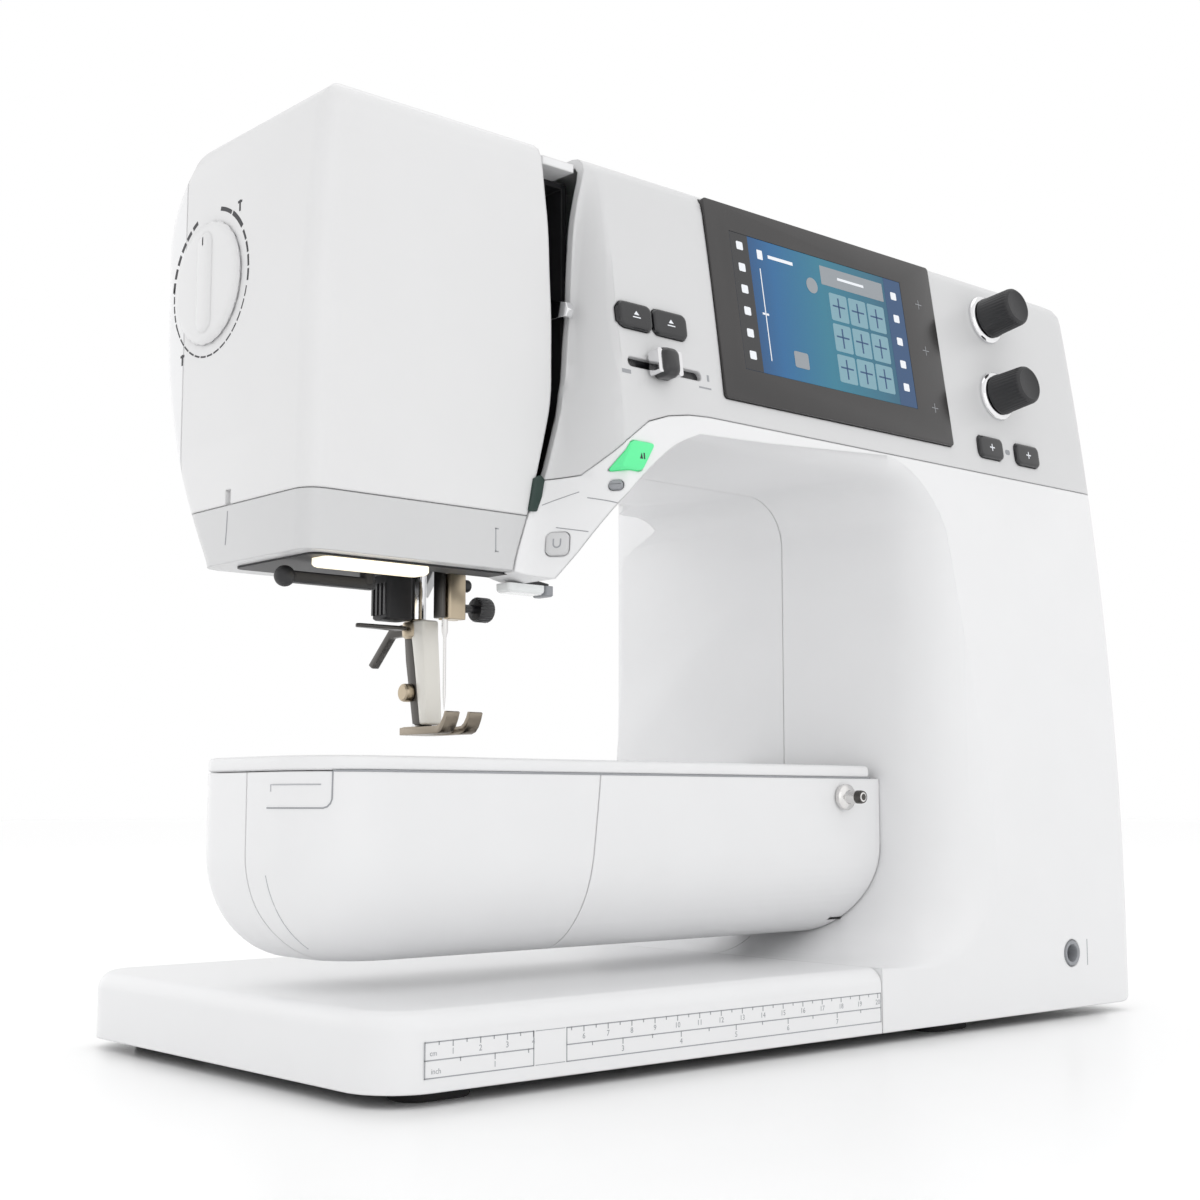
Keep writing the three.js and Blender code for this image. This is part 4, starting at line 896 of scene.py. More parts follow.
def make_display():
    place = surface_frame(DISPLAY["x"], DISPLAY["z"])
    w, h, top = DISPLAY["width"] / 2, DISPLAY["height"] / 2, DISPLAY["proud"]
    levels = ((top - DISPLAY["depth"], 0), (top - 0.3, 0), (top - 0.08, 0.1), (top, 0.35))
    bezel = rounded_block("bezel_look", (-w, w, -h, h), 1.4, levels, 8, place)
    cx, cy, sw, sh = SCREEN["x"], SCREEN["y"], SCREEN["width"] / 2, SCREEN["height"] / 2
    pocket = box("pocket", cx - sw - 0.15, cx + sw + 0.15, cy - sh - 0.15, cy + sh + 0.15, top - 1.8, 5,
                 place)
    finish_piece(smooth(cut(bezel, pocket)), BEZEL, replaces=("display_bezel",))
    glass = box("screen_look", cx - sw, cx + sw, cy - sh, cy + sh, top - 1.5, top - 0.1, place)
    finish_piece(glass, SCREEN_LIT, replaces=("display_screen",))

    def spot(fx0, fx1, fy0, fy1, corner=0.4):
        """Rounded patch of the screen, from fractions that run right and down."""
        x0, x1 = cx - sw + fx0 * 2 * sw, cx - sw + fx1 * 2 * sw
        y0, y1 = cy + sh - fy1 * 2 * sh, cy + sh - fy0 * 2 * sh
        return rounded_rect(x0, x1, y0, y1, corner, 4)

    def layer(name, outlines, mat, lift):
        group = merged(name, [mark("part", outline, place, 0.04, top - 0.1 + lift) for outline in outlines])
        finish_piece(group, mat)

    layer("screen_side", [spot(0, 0.095, 0, 1, 0.05)], BLACK, 0.0)
    layer("screen_right", [spot(0.895, 1, 0, 1, 0.05)], SCREEN_BLUE, 0.0)
    layer("screen_bar", [spot(0.50, 0.88, 0.055, 0.20)], TILE_GREY, 0.0)
    tiles = [spot(0.535 + 0.115 * i, 0.64 + 0.115 * i, 0.25 + 0.235 * j, 0.46 + 0.235 * j, 0.8)
             for i in range(3) for j in range(3)]
    layer("screen_tiles", tiles, TILE, 0.0)
    strokes = [spot(0.55 + 0.115 * i, 0.625 + 0.115 * i, 0.34 + 0.235 * j, 0.352 + 0.235 * j, 0.1)
               for i in range(3) for j in range(3)]
    strokes += [spot(0.583 + 0.115 * i, 0.591 + 0.115 * i, 0.28 + 0.235 * j, 0.43 + 0.235 * j, 0.1)
                for i in range(3) for j in range(3)]
    layer("screen_strokes", strokes, SCREEN_BLUE, 0.04)
    icons = [spot(0.03, 0.065, y, y + 0.06, 0.5) for y in (0.06, 0.22, 0.38, 0.54, 0.70, 0.86)]
    icons += [spot(0.93, 0.965, y, y + 0.06, 0.5) for y in (0.10, 0.28, 0.46, 0.64, 0.82)]
    icons += [spot(0.14, 0.17, 0.08, 0.15, 0.3), spot(0.20, 0.34, 0.10, 0.125, 0.1),
              spot(0.60, 0.76, 0.115, 0.135, 0.1)]
    icons += [spot(0.145, 0.15, 0.22, 0.9, 0.05), spot(0.13, 0.165, 0.55, 0.565, 0.05)]
    layer("screen_icons", icons, GLOWING_ICON, 0.05)
    disc = [tuple(p) for p in arc(cx - sw + 0.44 * 2 * sw, cy + sh - 0.235 * 2 * sh, 3.2, 0, 345, 28)]
    square = spot(0.28, 0.36, 0.78, 0.90, 0.8)
    layer("screen_widgets", [disc, square], TILE_GREY, 0.05)
    keys = [(w - 10, 20.5), (w - 9.6, 0.5), (w - 9.2, -24)]
    touch = []
    for x, y in keys:
        touch += [mark("a", bar(x - 2, x + 2, y - 0.15, y + 0.15), place, 0.04, top),
                  mark("b", bar(x - 0.15, x + 0.15, y - 2, y + 2), place, 0.04, top)]
    finish_piece(merged("touch_signs", touch), GREY)


def make_dial():
    place = Matrix(((0, 0, -1, BODY["left"]), (-1, 0, 0, DIAL["y"]), (0, 1, 0, DIAL["z"]), (0, 0, 0, 1)))
    r, deep = DIAL["radius"], DIAL["depth"]
    profile = [(4, -14), (4, 0.3), (r - 0.3, 0.3), (r, 0.7), (r, deep - 2.6), (r - 0.4, deep - 1.7),
               (r - 1.3, deep - 1.2), (r - 3, deep - 1.0), (0.5, deep - 1.0)]

    def notches(angle, radius, height):
        return radius - 0.35 * max(0, math.cos(24 * angle)) if radius > r - 0.5 and height > 0.5 else radius

    dial = turned("pressure_dial_look", profile, 192, place, notches)
    levels = ((deep - 2.0, 0), (deep - 0.9, 0.3), (deep - 0.2, 1.2), (deep, 2.4))
    union(dial, rounded_block("grip", (-5, 5, -17.5, 17.5), 4.6, levels, 10, place, 1.0))
    finish_piece(smooth(dial, 40), HEAD_SHADED_WHITE, "dial")
    pointer = mark("pointer", bar(-0.35, 0.35, 12.5, 15.5), place, 0.04, deep - 0.04)
    finish_piece(merged("dial_pointer", [pointer]), PRINT_AND_SHADE, "dial")

    dashes = []
    arcs = [(start, start + 8, 1.5) for start in range(112, 168, 11)]
    arcs += [(36, 56, 1.6), (58, 76, 1.4)] + [(start, start + 9, 1.0) for start in range(-10, 34, 11)]
    arcs += [(start, start + 8, 0.6) for start in range(-152, -12, 10)]
    arcs += [(start, start + 6, 0.7) for start in range(170, 204, 8)]
    for start, end, thick in arcs:
        outline = arc(0, 0, 24.4, start, end, 8) + arc(0, 0, 24.4 + thick, end, start, 8)
        dashes.append(mark("dash", outline, place))
    for angle in (50, 232):
        cx, cy = 29 * math.cos(math.radians(angle)), 29 * math.sin(math.radians(angle))
        dashes.append(mark("end", bar(cx - 0.5, cx + 0.5, cy - 1.9, cy + 1.9), place))
        dashes.append(mark("end", bar(cx - 1.3, cx + 1.3, cy + 0.9, cy + 1.7), place, 0.07))
    finish_piece(merged("dial_marks", dashes), PRINT_BLACK)
    # Dark line along the cutter crease on the head's left: painted shade in the crease.
    crease = [(BODY["left"], y, z) for y, z in ((-12.4, 180), (-12.0, 174), (-11.4, 169))]
    finish_piece(wire("cutter_crease_shade", crease, 0.2), PRINT_AND_SHADE)


# ------------------------------------------------------------------ printed marks, seams and painted shade lines
def wire(name, points, radius, sides=8, matrix=None):
    """Round bar along a line of points."""
    path = [Vector(p) for p in points]
    rings = []
    for i, here in enumerate(path):
        along_path = (path[min(i + 1, len(path) - 1)] - path[max(i - 1, 0)]).normalized()
        reference = Vector((0, 0, 1)) if abs(along_path.z) < 0.9 else Vector((0, 1, 0))
        side = along_path.cross(reference).normalized()
        up = side.cross(along_path)
        rings.append([tuple(here + side * (radius * math.cos(a)) + up * (radius * math.sin(a)))
                      for a in np.linspace(0, 2 * math.pi, sides, endpoint=False)])
    return loft(name, rings, matrix)


def front_frame(y):
    """Frame on an upright plane that faces the front: local X is right, local Y up."""
    return Matrix(((1, 0, 0, 0), (0, 0, -1, y), (0, 1, 0, 0), (0, 0, 0, 1)))


def top_frame(z):
    return Matrix.Translation((0, 0, z))


def lettering(text, size, matrix, x, y, thick=0.02):
    """Thin closed letters, centred on a point of a frame."""
    curve = bpy.data.curves.new("letters", "FONT")
    curve.body, curve.size, curve.extrude, curve.resolution_u = text, size * MM, thick * MM, 2
    curve.align_x, curve.align_y = "CENTER", "CENTER"
    source = bpy.data.objects.new("letters", curve)
    bpy.context.scene.collection.objects.link(source)
    bpy.context.view_layer.update()
    mesh = bpy.data.meshes.new_from_object(source.evaluated_get(bpy.context.evaluated_depsgraph_get()))
    points = [(v.co.x / MM + x, v.co.y / MM + y, v.co.z / MM + thick) for v in mesh.vertices]
    faces = [tuple(face.vertices) for face in mesh.polygons]
    bpy.data.objects.remove(source)
    return new_object("letters", points, faces, matrix)


def make_ruler():
    place = front_frame(BODY["front"])
    zero, top, middle, bottom = -178.1, 18.3, 13.2, 8.2
    strokes = []

    def line(x0, z0, x1, z1, half=0.17):
        strokes.append(mark("line", bar(x0 - half, x1 + half, min(z0, z1) - half, max(z0, z1) + half), place))

    for z in (top, middle, bottom):
        line(zero, z, -138, z)
        line(-125, z, 23.5, z)
    for x in (zero, -138, -125, 23.5):
        line(x, bottom, x, top)
    line(-137.2, bottom, -125.8, bottom, 0.1)
    line(-137.2, top, -125.8, top, 0.1)
    for cm in range(1, 21):
        x = zero + 10 * cm
        if not -138 < x < -125:
            line(x, top, x, top - 1.5)
            strokes.append(lettering(str(cm), 2.5, place, x, top - 3.1))
        if not -138 < x - 5 < -125:
            line(x - 5, top, x - 5, top - 0.8)
    for half_inch in range(1, 16):
        x = zero + 12.7 * half_inch
        whole = half_inch % 2 == 0
        if not -138 < x < -125:
            line(x, middle, x, middle - (1.6 if whole else 0.9))
            if whole:
                strokes.append(lettering(str(half_inch // 2), 2.5, place, x, middle - 3.2))
    strokes += [lettering("cm", 2.2, place, zero + 3, top - 3.2),
                lettering("inch", 2.2, place, zero + 4, middle - 3.2)]
    finish_piece(merged("ruler_print", strokes), PRINT_AND_SHADE)
    socket_line = [mark("line", bar(155.2, 155.6, 20.5, 31), place)]
    finish_piece(merged("socket_line", socket_line), PRINT_AND_SHADE)


def arm_rim(run, z):
    """Point on the arm's outside: run is the way round from the end's front corner, in millimetres."""
    drop = float(edge_drop(np.array(z - ARM["bottom"]), 34)) * 0.8
    left, front, corner = ARM["left"] + drop, ARM["front"] + drop, 26 - drop * 0.4
    quarter = corner * math.pi / 2
    if run < 0:
        return (left, front + corner - run, z)
    if run < quarter:
        angle = run / corner
        return (left + corner - corner * math.cos(angle), front + corner - corner * math.sin(angle), z)
    return (left + corner + run - quarter, front, z)


def make_arm_details():
    # Dark line round the finger tab: painted shade in its groove.
    tab = [arm_rim(run, 84.8) for run in np.linspace(-3.3, 19.5, 12)]
    tab += [arm_rim(20.8, 85.2), arm_rim(21.8, 86.2), arm_rim(22.3, 87.6), arm_rim(22.4, 96.0)]
    # Grey line along the finger recess: painted shade in the recess.
    slot = [arm_rim(-1.2, 89.9), arm_rim(-1.2, 92.0)]
    slot += [arm_rim(run, 92.0) for run in np.linspace(0, 18.8, 10)]
    finish_piece(wire("flap_tab_groove_shade", tab, 0.26), PRINT_AND_SHADE)
    finish_piece(wire("flap_tab_recess_shade", slot, 0.22), SHADE_LINE_GREY)
    lip = [arm_rim(run, 96.15) for run in np.linspace(22.4, 40.8, 8)] + [(61.5, -60, 96.15)]
    lip = [(x + 0.12, y + 0.12, z) for x, y, z in lip]
    finish_piece(wire("arm_lip_shadow", lip, 0.34), PRINT_AND_SHADE)
    # Grey line down the flap's crease: painted shade in the crease.
    crease = [arm_rim(-4.1 + 0.16 * (66 - z) + 0.012 * (66 - z) ** 2, z) for z in np.linspace(64, 41, 14)]
    finish_piece(wire("flap_crease_shade", crease, 0.16), SHADE_LINE_GREY, "bobbin_flap")
    place = towards((0, -1, 0), (45.3, ARM["front"], 88.7))
    profile = [(0.6, -6), (2.3, -6), (2.3, 0.3), (4.7, 0.3), (5, 0.6), (5, 2.2), (4.6, 2.6), (2.7, 3.2),
               (2.5, 3.6),
               (2.5, 9.4), (2.2, 10.1), (1.6, 10.4), (0.4, 10.4)]
    finish_piece(smooth(turned("accessory_pin_look", profile, 48, place)), STEEL)
    tip = turned("accessory_pin_tip", [(1.8, 7.4), (2.56, 7.5), (2.56, 9.3), (2.3, 10.2), (1.0, 10.45)], 48,
                 place)
    finish_piece(smooth(tip), DARK_STEEL)


def surface_path(pairs, steps=6, lift=0.0):
    points = []
    for (x0, z0), (x1, z1) in zip(pairs, pairs[1:]):
        for t in np.linspace(0, 1, steps):
            x, z = mix(x0, x1, t), mix(z0, z1, t)
            points.append((x, float(front_y(x, z)) - lift, z))
    return [p for i, p in enumerate(points) if i == 0 or p != points[i - 1]]


def make_seam_lines():
    lines = [[(-99.6, 187.7), (-94.8, 185.2)], [(-106.6, 177.8), (-101.2, 175.8)],
             [(-108, 185.9), (-100.3, 190)]]
    paths = [wire("line", surface_path(line), 0.16) for line in lines]
    finish_piece(merged("head_lines", paths), PRINT_AND_SHADE)
    outline = [(-113.0, 183.6), (-109.6, 183.6), (-107.4, 189), (-106.2, 195), (-108, 196.5), (-110.8, 195)]
    plug = prism("slot_plug", outline, "y", -61.2, -57.5)
    finish_piece(smooth(bevel_mesh(plug, 0.5)), DARK_GREEN)
    strip_mark = [mark("m", bar(-126.6, -126.2, 168.5, 176.5), front_frame(-60.0)),
                  mark("m", bar(-126.6, -125.2, 176.1, 176.5), front_frame(-60.0)),
                  mark("m", bar(-126.6, -125.2, 168.5, 168.9), front_frame(-60.0))]
    finish_piece(merged("strip_bracket", strip_mark), PRINT_AND_SHADE)


def bevel_mesh(obj, width, segments=3, angle=30):
    """Rounds the edges of a plain mesh in the mesh itself."""
    work = bmesh.new()
    work.from_mesh(obj.data)
    limit = math.radians(angle)
    edges = [e for e in work.edges if len(e.link_faces) == 2 and e.calc_face_angle(0) > limit]
    bmesh.ops.bevel(work, geom=edges, offset=width * MM, segments=segments, profile=0.5, affect="EDGES",
                    clamp_overlap=True)
    work.to_mesh(obj.data)
    work.free()
    return obj


# ------------------------------------------------------------------ needle, presser foot and lights
def side_plate(name, outline, x0, x1, width):
    """Plate cut from a side outline of (y, z) points, with round edges."""
    return smooth(bevel_mesh(prism(name, outline, "x", x0, x1), width), 35)


def make_needle():
    x, y = NEEDLE
    axis = Matrix.Translation((x, y, 0))
    block = prism("block", rounded_rect(x - 1.0, x + 6.4, y - 3.8, y + 3.0, 0.9, 5), "z", 149.2, 165)
    cut(block, box("groove", x + 5.6, x + 8, y - 0.5, y + 0.5, 140, 170))
    finish_piece(smooth(bevel_mesh(block, 0.5)), WARM_STEEL, "needle_unit", ("needle_clamp",))
    rod = prism("needle_holder", rounded_rect(x - 3.4, x - 1.1, y - 2.6, y + 2.6, 0.9, 5), "z", 149.6, 170)
    finish_piece(smooth(bevel_mesh(rod, 0.3)), DARK_STEEL, "needle_unit")
    screw = towards((1, 0, 0), (x, y, 153.6))
    profile = [(0.3, 2.6), (1.5, 2.6), (1.5, 12.6), (3.9, 12.7), (4.4, 13.3), (4.4, 18.2), (4.0, 18.8),
               (3.2, 19), (2.6, 18.5),
               (0.3, 18.5)]

    def knurl(angle, radius, height):
        return radius - 0.25 * (0.5 + 0.5 * math.cos(24 * angle)) if radius > 4.2 else radius

    finish_piece(smooth(turned("clamp_screw_look", profile, 144, screw, knurl), 50), BLACK, "needle_unit")
    profile = [(0.3, 6.2), (2.2, 6.4), (2.2, 9.5), (1.9, 10), (0.3, 10)]
    small = turned("stop_screw", profile, 32, towards((1, 0, 0), (x, y, 161.5)))
    finish_piece(smooth(small), SATIN_BLACK, "needle_unit")
    bar_profile = [(0.3, 165.3), (2.9, 165.3), (3.3, 165.7), (3.3, 287.2), (2.9, 288), (0.3, 288)]
    finish_piece(smooth(turned("needle_bar_look", bar_profile, 64, axis)), CHROME, "needle_unit")
    shaft = [(0.02, 118.0), (0.16, 118.9), (0.34, 120.4), (0.5, 122.6), (0.55, 124.4), (0.55, 143),
             (1.1, 145), (1.1, 156.3),
             (0.3, 156.6)]
    finish_piece(smooth(turned("needle_look", shaft, 32, axis)), STEEL, "needle_unit")


def make_presser():
    x, y = PRESSER
    axis = Matrix.Translation((x, y, 0))
    profile = [(0.3, 150), (3.1, 150), (3.5, 150.4), (3.5, 200), (5.4, 200.2), (5.4, 205.8), (3.5, 206),
               (3.5, 283.4), (3.0, 284),
               (0.3, 284)]
    finish_piece(smooth(turned("presser_bar_look", profile, 64, axis)), CHROME, "presser_unit")
    front = [(-9, 149.7), (-17, 149.7), (-17.2, 143.7), (-18.4, 130), (-19.6, 113.2), (-15.0, 113.2),
             (-11.6, 134),
             (-10, 142), (-9, 146)]
    shank = side_plate("foot_shank_look", front, x - 3.4, x + 3.4, 0.9)
    finish_piece(shank, CREAM, "presser_unit")
    rear = [(-4.5, 149.7), (-8.9, 149.5), (-9.9, 142), (-11.5, 134), (-14.9, 113.2), (-10.5, 113.2),
            (-6.0, 135.7)]
    finish_piece(side_plate("foot_back", rear, x - 3.0, x + 3.0, 0.5), DARK_STEEL, "presser_unit")
    hook = [(-9, 149), (-2, 149.2), (6, 148.6), (19.5, 135.9), (17, 134.4), (6, 144.8), (-4, 145)]
    finish_piece(side_plate("foot_hook", hook, x - 1.6, x + 1.6, 0.6), DARK_STEEL, "presser_unit")
    cone = [(0.3, 143.5), (3.6, 143.5), (4.8, 144.4), (5.0, 147), (4.6, 149.2), (3.6, 149.9), (0.3, 149.9)]
    finish_piece(smooth(turned("foot_cone", cone, 48, axis)), WARM_STEEL, "presser_unit")
    head = [(0.3, -7.6), (2.4, -7.6), (3.0, -7.2), (3.2, -6.6), (3.2, -4.6), (2.2, -4.2), (2.2, -2.2),
            (0.3, -2.2)]
    knob = turned("foot_screw", head, 48, towards((1, 0, 0), (x + 1.2, y - 1, 124.5)))
    finish_piece(smooth(knob), WARM_STEEL, "presser_unit")
    levels = ((149.4, 0.6), (150, 0), (166, 0))
    block = rounded_block("threader_block", (-136.6, -125.6, -13, -3), 1.5, levels, 6)
    finish_piece(smooth(block), SATIN_BLACK, "presser_unit")
    ribs = [box("rib", -137.1, -136.4, -12 + 2.4 * i, -10.9 + 2.4 * i, 151, 162) for i in range(4)]
    finish_piece(merged("threader_ribs", ribs), BLACK, "presser_unit")
    outline = [(-147, -9.4), (-146, -10.6), (-127.5, -11.5), (-125.5, -9), (-127.5, -5), (-146, -7.4)]
    blade = prism("blade", outline, "z", 146.2, 147.5)
    finish_piece(smooth(bevel_mesh(blade, 0.3)), DARK_STEEL, "presser_unit")
    make_sole(x)


def make_sole(x):
    base = 109.7
    side = [(-6.5, 0.4), (-7.2, 0), (-31, 0), (-33.2, 0.7), (-34.9, 2.4), (-36.2, 4.8), (-37, 7.0),
            (-36.4, 7.4), (-35.4, 7.4),
            (-34.6, 5.6), (-33.2, 3.7), (-31.8, 2.8), (-30, 2.6), (-20, 2.5), (-18.6, 2.7), (-12, 2.7),
            (-10.6, 2.5), (-6.5, 2.3)]
    sole = prism("foot_sole_look", [(y, base + z) for y, z in side], "x", x - 7.5, x + 7.5)
    eye = prism("eye", rounded_rect(x - 3.8, x + 3.8, -28.2, -21.8, 3.0, 10), "z", 100, 130)
    gap = prism("gap", rounded_rect(x - 2.2, x + 2.2, -50, -24, 1.0, 4), "z", 100, 130)
    corners = [prism("corner", [(x + s * 7.6, -6.4), (x + s * 7.6, -9.6), (x + s * 4.6, -6.4)], "z", 100, 130)
               for s in (-1, 1)]
    cut(sole, eye, gap, *corners)
    finish_piece(smooth(bevel_mesh(sole, 0.35, 2), 35), SOLE_STEEL, "foot_sole")
    profile = [(0.2, -4.6), (1.1, -4.6), (1.1, 4.6), (0.2, 4.6)]
    pin = turned("sole_pin", profile, 24, towards((1, 0, 0), (x, -13.5, 112.4)))
    finish_piece(smooth(pin), CHROME, "foot_sole")


def make_head_underside():
    plate = prism("lamp_plate", rounded_rect(-193, -113, -54.5, -6, (4, 3, 3, 4), 6), "z", 162.3, 162.92)
    cut(plate, needle_well(), threader_hole())
    finish_piece(smooth(plate), SATIN_BLACK)
    levels = ((159.4, 1.0), (159.7, 0.4), (160.3, 0), (162.2, 0))
    lens = rounded_block("led_lens", (-188, -148, -54, -44.5), 2.0, levels)
    finish_piece(smooth(lens), LENS, replaces=("led_light",))
    levels = ((157.0, 0.8), (157.6, 0.2), (158.2, 0), (160.1, 0))
    lens = rounded_block("side_lens", (-115, -99, -53, -45), 1.5, levels)
    finish_piece(smooth(lens), CLEAR)
    levels = ((156.6, 0.4), (157.0, 0), (160.2, 0))
    end = rounded_block("side_lens_end", (-98.8, -95.4, -53, -45), 1.0, levels)
    finish_piece(smooth(end), GREY)
    arm = [(-109, 160.0), (-96, 160.0), (-96, 161.2), (-109, 163.0)]
    finish_piece(side_bracket("side_lens_bracket", arm), SATIN_BLACK)
    lever = prism("threader_look", rounded_rect(-190, -157.5, -37, -33, 1.2, 5), "z", 155.5, 159.2)
    profile = [(0.4, 157), (2.5, 157), (2.5, 199.6), (2.1, 200), (0.4, 200)]
    stem = turned("stem", profile, 32, Matrix.Translation((*THREADER, 0)))
    ball = [(3.4 * math.sin(a), 3.4 * -math.cos(a)) for a in np.linspace(0.08, math.pi - 0.08, 17)]
    knob = turned("ball", ball, 40, Matrix.Translation((-191, -35, 157.4)))
    union(bevel_mesh(lever, 0.6), stem, knob)
    finish_piece(smooth(lever), SATIN_BLACK, "threader", replaces=("threader_lever",))


def side_bracket(name, outline):
    return smooth(bevel_mesh(prism(name, outline, "y", -51, -47), 0.3))


# ------------------------------------------------------------------ right side, back, top and feet
def make_handwheel():
    place = towards((1, 0, 0), (BODY["right"] + 0.4, *SHAFT))
    profile = [(0.4, 0), (32.4, 0), (33, 0.6), (33.5, 3), (33.3, 6), (33, 8.6), (32, 10.6), (30, 12.2),
               (28, 12.6),
               (18, 12.6), (16, 12.2), (15, 11.2), (14.4, 10.2), (0.4, 10)]

    def grips(angle, radius, height):
        deep = 1.0 < height < 10 and radius > 30
        return radius - 0.7 * max(0, math.cos(30 * angle)) ** 2 if deep else radius

    finish_piece(smooth(turned("handwheel_look", profile, 300, place, grips), 40), HEAD_SHADED_WHITE, "handwheel")
    cap = turned("handwheel_mark", [(0.4, 10.05), (2.0, 10.05), (2.0, 10.3), (0.4, 10.3)], 32,
                 towards((1, 0, 0), (BODY["right"] + 0.4, SHAFT[0], SHAFT[1] + 9)))
    finish_piece(cap, GREY, "handwheel")


def make_fittings():
    h = HANDLE
    low, high = h["pivot_z"] - h["half"], h["pivot_z"] + h["half"]
    outline = rounded_rect(h["x0"], h["x1"], h["front"], h["pivot_y"], (8, 8, 0.5, 0.5), 10)
    grip = prism("carry_handle_look", outline, "z", low, high)
    cut(grip, prism("gap", rounded_rect(h["x0"] + h["bar"], h["x1"] - h["bar"], h["front"] + h["bar"], 80,
                                        (5, 5, 1, 1), 8),
                    "z", 300, 330))
    radius = h["half"] - 0.02
    hubs = [turned("hub", [(radius, 0), (radius, h["bar"])], 48,
                   towards((1, 0, 0), (x, h["pivot_y"], h["pivot_z"])))
            for x in (h["x0"], h["x1"] - h["bar"])]
    union(grip, *hubs)
    finish_piece(smooth(grip), WHITE, "carry_handle")
    low, high = node_box("top_cover")
    levels = ((low[2], 0), (high[2] - 0.4, 0), (high[2] - 0.1, 0.12), (high[2], 0.4))
    lid = rounded_block("top_cover_look", (low[0], high[0], low[1], high[1]), 0.8, levels, 5)
    finish_piece(smooth(lid), WHITE)
    # The lid dimple is a thin disc in the darker head white: painted shade for its dish.
    profile = [(0.4, 0), (7, 0), (7.6, 0.12), (0.4, 0.14)]
    thumb = turned("lid_dimple", profile, 48, Matrix.Translation((50, -10, high[2] - 0.1)))
    finish_piece(smooth(thumb), HEAD_SHADED_WHITE)

    pin = [(0.3, 0), (2.1, 0), (2.4, 0.3), (2.4, 62.6), (2.0, 63.6), (1.2, 64), (0.3, 64)]
    spool = turned("spool_pin_look", pin, 40, towards((1, 0, 0), (104, 20, 314.9)))
    hub_profile = [(0.3, 13), (4.6, 13), (5, 13.4), (5, 26.6), (4.6, 27), (0.3, 27)]
    hub = turned("hub", hub_profile, 48, towards((0, 1, 0), (104, 0, 314.9)))
    finish_piece(smooth(union(spool, hub)), GREY, "spool_pin")
    winder = [(0.3, 300), (2.2, 300), (2.2, 310), (8.4, 310), (9, 310.6), (9, 313.4), (8.4, 314),
              (3.4, 314), (3.0, 314.4),
              (3.0, 319.8), (2.4, 320.7), (1.4, 321), (0.3, 321)]
    place = Matrix.Translation((*WINDER, 0))
    finish_piece(smooth(turned("bobbin_winder_look", winder, 64, place)), SATIN_BLACK, "bobbin_winder")

    inlet_low, inlet_high = node_box("power_inlet")
    inlet = box("power_inlet_look", 172, inlet_high[0] - 0.02, inlet_low[1], inlet_high[1],
                inlet_low[2], inlet_high[2])
    bevel_mesh(inlet, 0.5)
    outline = rounded_rect(inlet_low[1] + 4, inlet_high[1] - 4, inlet_low[2] + 5, inlet_high[2] - 5,
                           (2.5, 2.5, 1, 1), 6)
    cavity = prism("cavity", outline, "x", 180, 200)
    finish_piece(smooth(cut(inlet, cavity)), SATIN_BLACK)
    pins = [turned("pin", [(0.2, 179), (1.2, 179), (1.2, 188.4), (0.7, 189.2), (0.2, 189.3)], 24,
                   towards((1, 0, 0), (0, y, 46))) for y in (60.5, 69.5)]
    finish_piece(smooth(merged("inlet_pins", pins)), CHROME)
    low, high = node_box("power_switch")
    side = [(182.2, 75.1), (191.4, 75.1), (194, 84.9), (192.2, 94.9), (182.2, 94.9)]
    rocker = prism("power_switch_look", side, "y", low[1] + 0.02, high[1] - 0.02)
    finish_piece(smooth(bevel_mesh(rocker, 0.5)), BLACK, "power_switch")
    place = Matrix(((0, 0, 1, BODY["right"]), (1, 0, 0, 0), (0, 1, 0, 0), (0, 0, 0, 1)))
    bars = [bar(54.8, 75.2, 97, 97.5), bar(54.8, 75.2, 72.4, 72.9), bar(64.8, 65.2, 99, 102)]
    finish_piece(merged("switch_frame", [mark("bar", outline, place) for outline in bars]), PRINT_AND_SHADE)
    socket = [(SOCKET["radius"], 18.3), (SOCKET["radius"], 0.2), (SOCKET["radius"] - 0.4, -0.55),
              (4.3, -0.6), (3.6, -0.2),
              (3.3, 0.8), (3.3, 15.6), (0.3, 15.6), (0.3, 18.3)]
    ring = turned("knee_socket_look", socket + socket[:1], 64,
                  towards((0, 1, 0), (SOCKET["x"], BODY["front"], SOCKET["z"])))
    finish_piece(smooth(ring, 40), GREY, replaces=("knee_lift_socket",))
    for name in ("foot_front_left", "foot_front_right", "foot_rear_left", "foot_rear_right"):
        low, high = node_box(name)
        levels = ((0, 1.0), (0.3, 0.3), (1.0, 0), (high[2], 0))
        foot = rounded_block(name + "_look", (low[0], high[0], low[1], high[1]), 7.6, levels, 12, None, 1.0)
        finish_piece(smooth(foot), RUBBER)


def make_needle_plate():
    low, high = node_box("needle_plate")
    levels = ((low[2], 0), (high[2] - 0.3, 0), (high[2] - 0.06, 0.1), (high[2], 0.35))
    plate = rounded_block("needle_plate_look", (low[0], high[0], low[1], high[1]), 3, levels)
    slots = [prism("slot", rounded_rect(-126, -116, -27.2, -22.8, 2.1, 8), "z", 90, 110)]
    slots += [prism("slot", rounded_rect(x, x + 5.2, -41, -3.4, 1.0, 5), "z", 90, 110)
              for x in (-131.6, -115.6)]
    finish_piece(smooth(cut(plate, *slots)), STEEL)
    lines = [mark("line", bar(-121 + side * gap - 0.12, -121 + side * gap + 0.12, -46, 5),
                  top_frame(high[2]), 0.03)
             for side in (-1, 1) for gap in (15, 20, 25)]
    finish_piece(merged("plate_lines", lines), PRINT_AND_SHADE)
    teeth = [prism("tooth", [(-39.9 + 1.4 * i, 96.5), (-38.6 + 1.4 * i, 96.5), (-38.6 + 1.4 * i, 101.5)],
                   "x", x, x + 4)
             for i in range(25) for x in (-131, -115)]
    rails = [box("rail", x, x + 4, -40, -4.4, 94.5, 97) for x in (-131, -115)]
    rails.append(box("bridge", -127.02, -114.98, -8, -4.4, 92.5, 96.5))
    finish_piece(merged("feed_dog_look", teeth + rails), STEEL, "feed_dog")


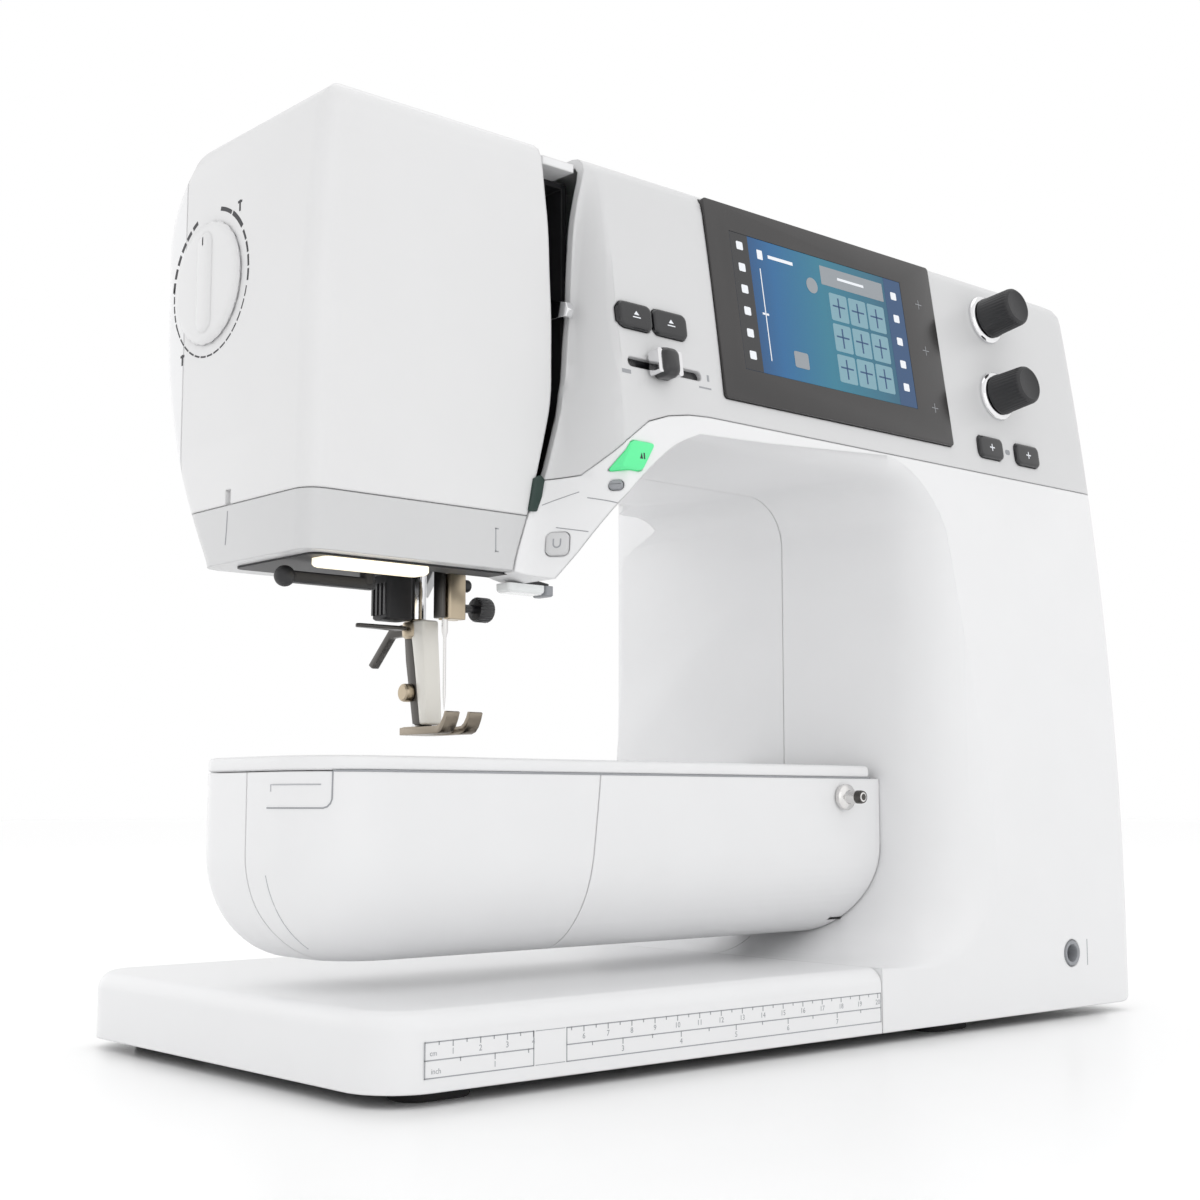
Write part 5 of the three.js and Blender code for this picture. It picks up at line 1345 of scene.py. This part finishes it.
# ------------------------------------------------------------------ the rest of the frame's nodes
def smooth_modifier():
    """Node group that merges a faceted solid's corners and shades it smooth below an angle."""
    group = bpy.data.node_groups.new("soft_facets", "GeometryNodeTree")
    group.interface.new_socket("Geometry", in_out="INPUT", socket_type="NodeSocketGeometry")
    group.interface.new_socket("Geometry", in_out="OUTPUT", socket_type="NodeSocketGeometry")
    nodes, links = group.nodes, group.links
    source, sink = nodes.new("NodeGroupInput"), nodes.new("NodeGroupOutput")
    weld = nodes.new("GeometryNodeMergeByDistance")
    weld.inputs["Distance"].default_value = 1e-6
    angle = nodes.new("GeometryNodeInputMeshEdgeAngle")
    limit = nodes.new("FunctionNodeCompare")
    limit.operation = "LESS_THAN"
    limit.inputs[1].default_value = math.radians(32)
    faces, edges = nodes.new("GeometryNodeSetShadeSmooth"), nodes.new("GeometryNodeSetShadeSmooth")
    edges.domain = "EDGE"
    links.new(source.outputs[0], weld.inputs["Geometry"])
    links.new(weld.outputs["Geometry"], faces.inputs["Geometry"])
    links.new(faces.outputs["Geometry"], edges.inputs["Geometry"])
    links.new(angle.outputs["Unsigned Angle"], limit.inputs[0])
    links.new(limit.outputs["Result"], edges.inputs["Shade Smooth"])
    links.new(edges.outputs["Geometry"], sink.inputs[0])
    return group


NODE_LOOKS = {
    "base_plate": PAINTED, "cast_frame": CASTING, "motor": PAINTED, "drive_belt": RUBBER,
    "bobbin_case": STEEL,
    "bobbin": BRASS, "slot_liner": SATIN_BLACK, "thread_guide": WHITE, "main_shaft": STEEL,
    "motor_pulley": STEEL,
    "hook": CHROME, "hook_shaft": STEEL, "take_up_lever": CHROME, "presser_lifter": SATIN_BLACK}


def dress_nodes():
    facets = smooth_modifier()
    for name, mat in NODE_LOOKS.items():
        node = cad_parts[name]
        for index in range(max(1, len(node.material_slots))):
            if node.material_slots:
                node.material_slots[index].material = mat
            else:
                node.data.materials.append(mat)
        step = node.modifiers.new("soft_facets", "NODES")
        step.node_group = facets
        bevel(node, 0.25, 2, 40)


make_stage()
make_body_housings()
make_base()
make_free_arm()
make_keys()
make_knobs()
make_slider()
make_display()
make_dial()
make_ruler()
make_arm_details()
make_seam_lines()
make_needle()
make_presser()
make_head_underside()
make_handwheel()
make_fittings()
make_needle_plate()
dress_nodes()
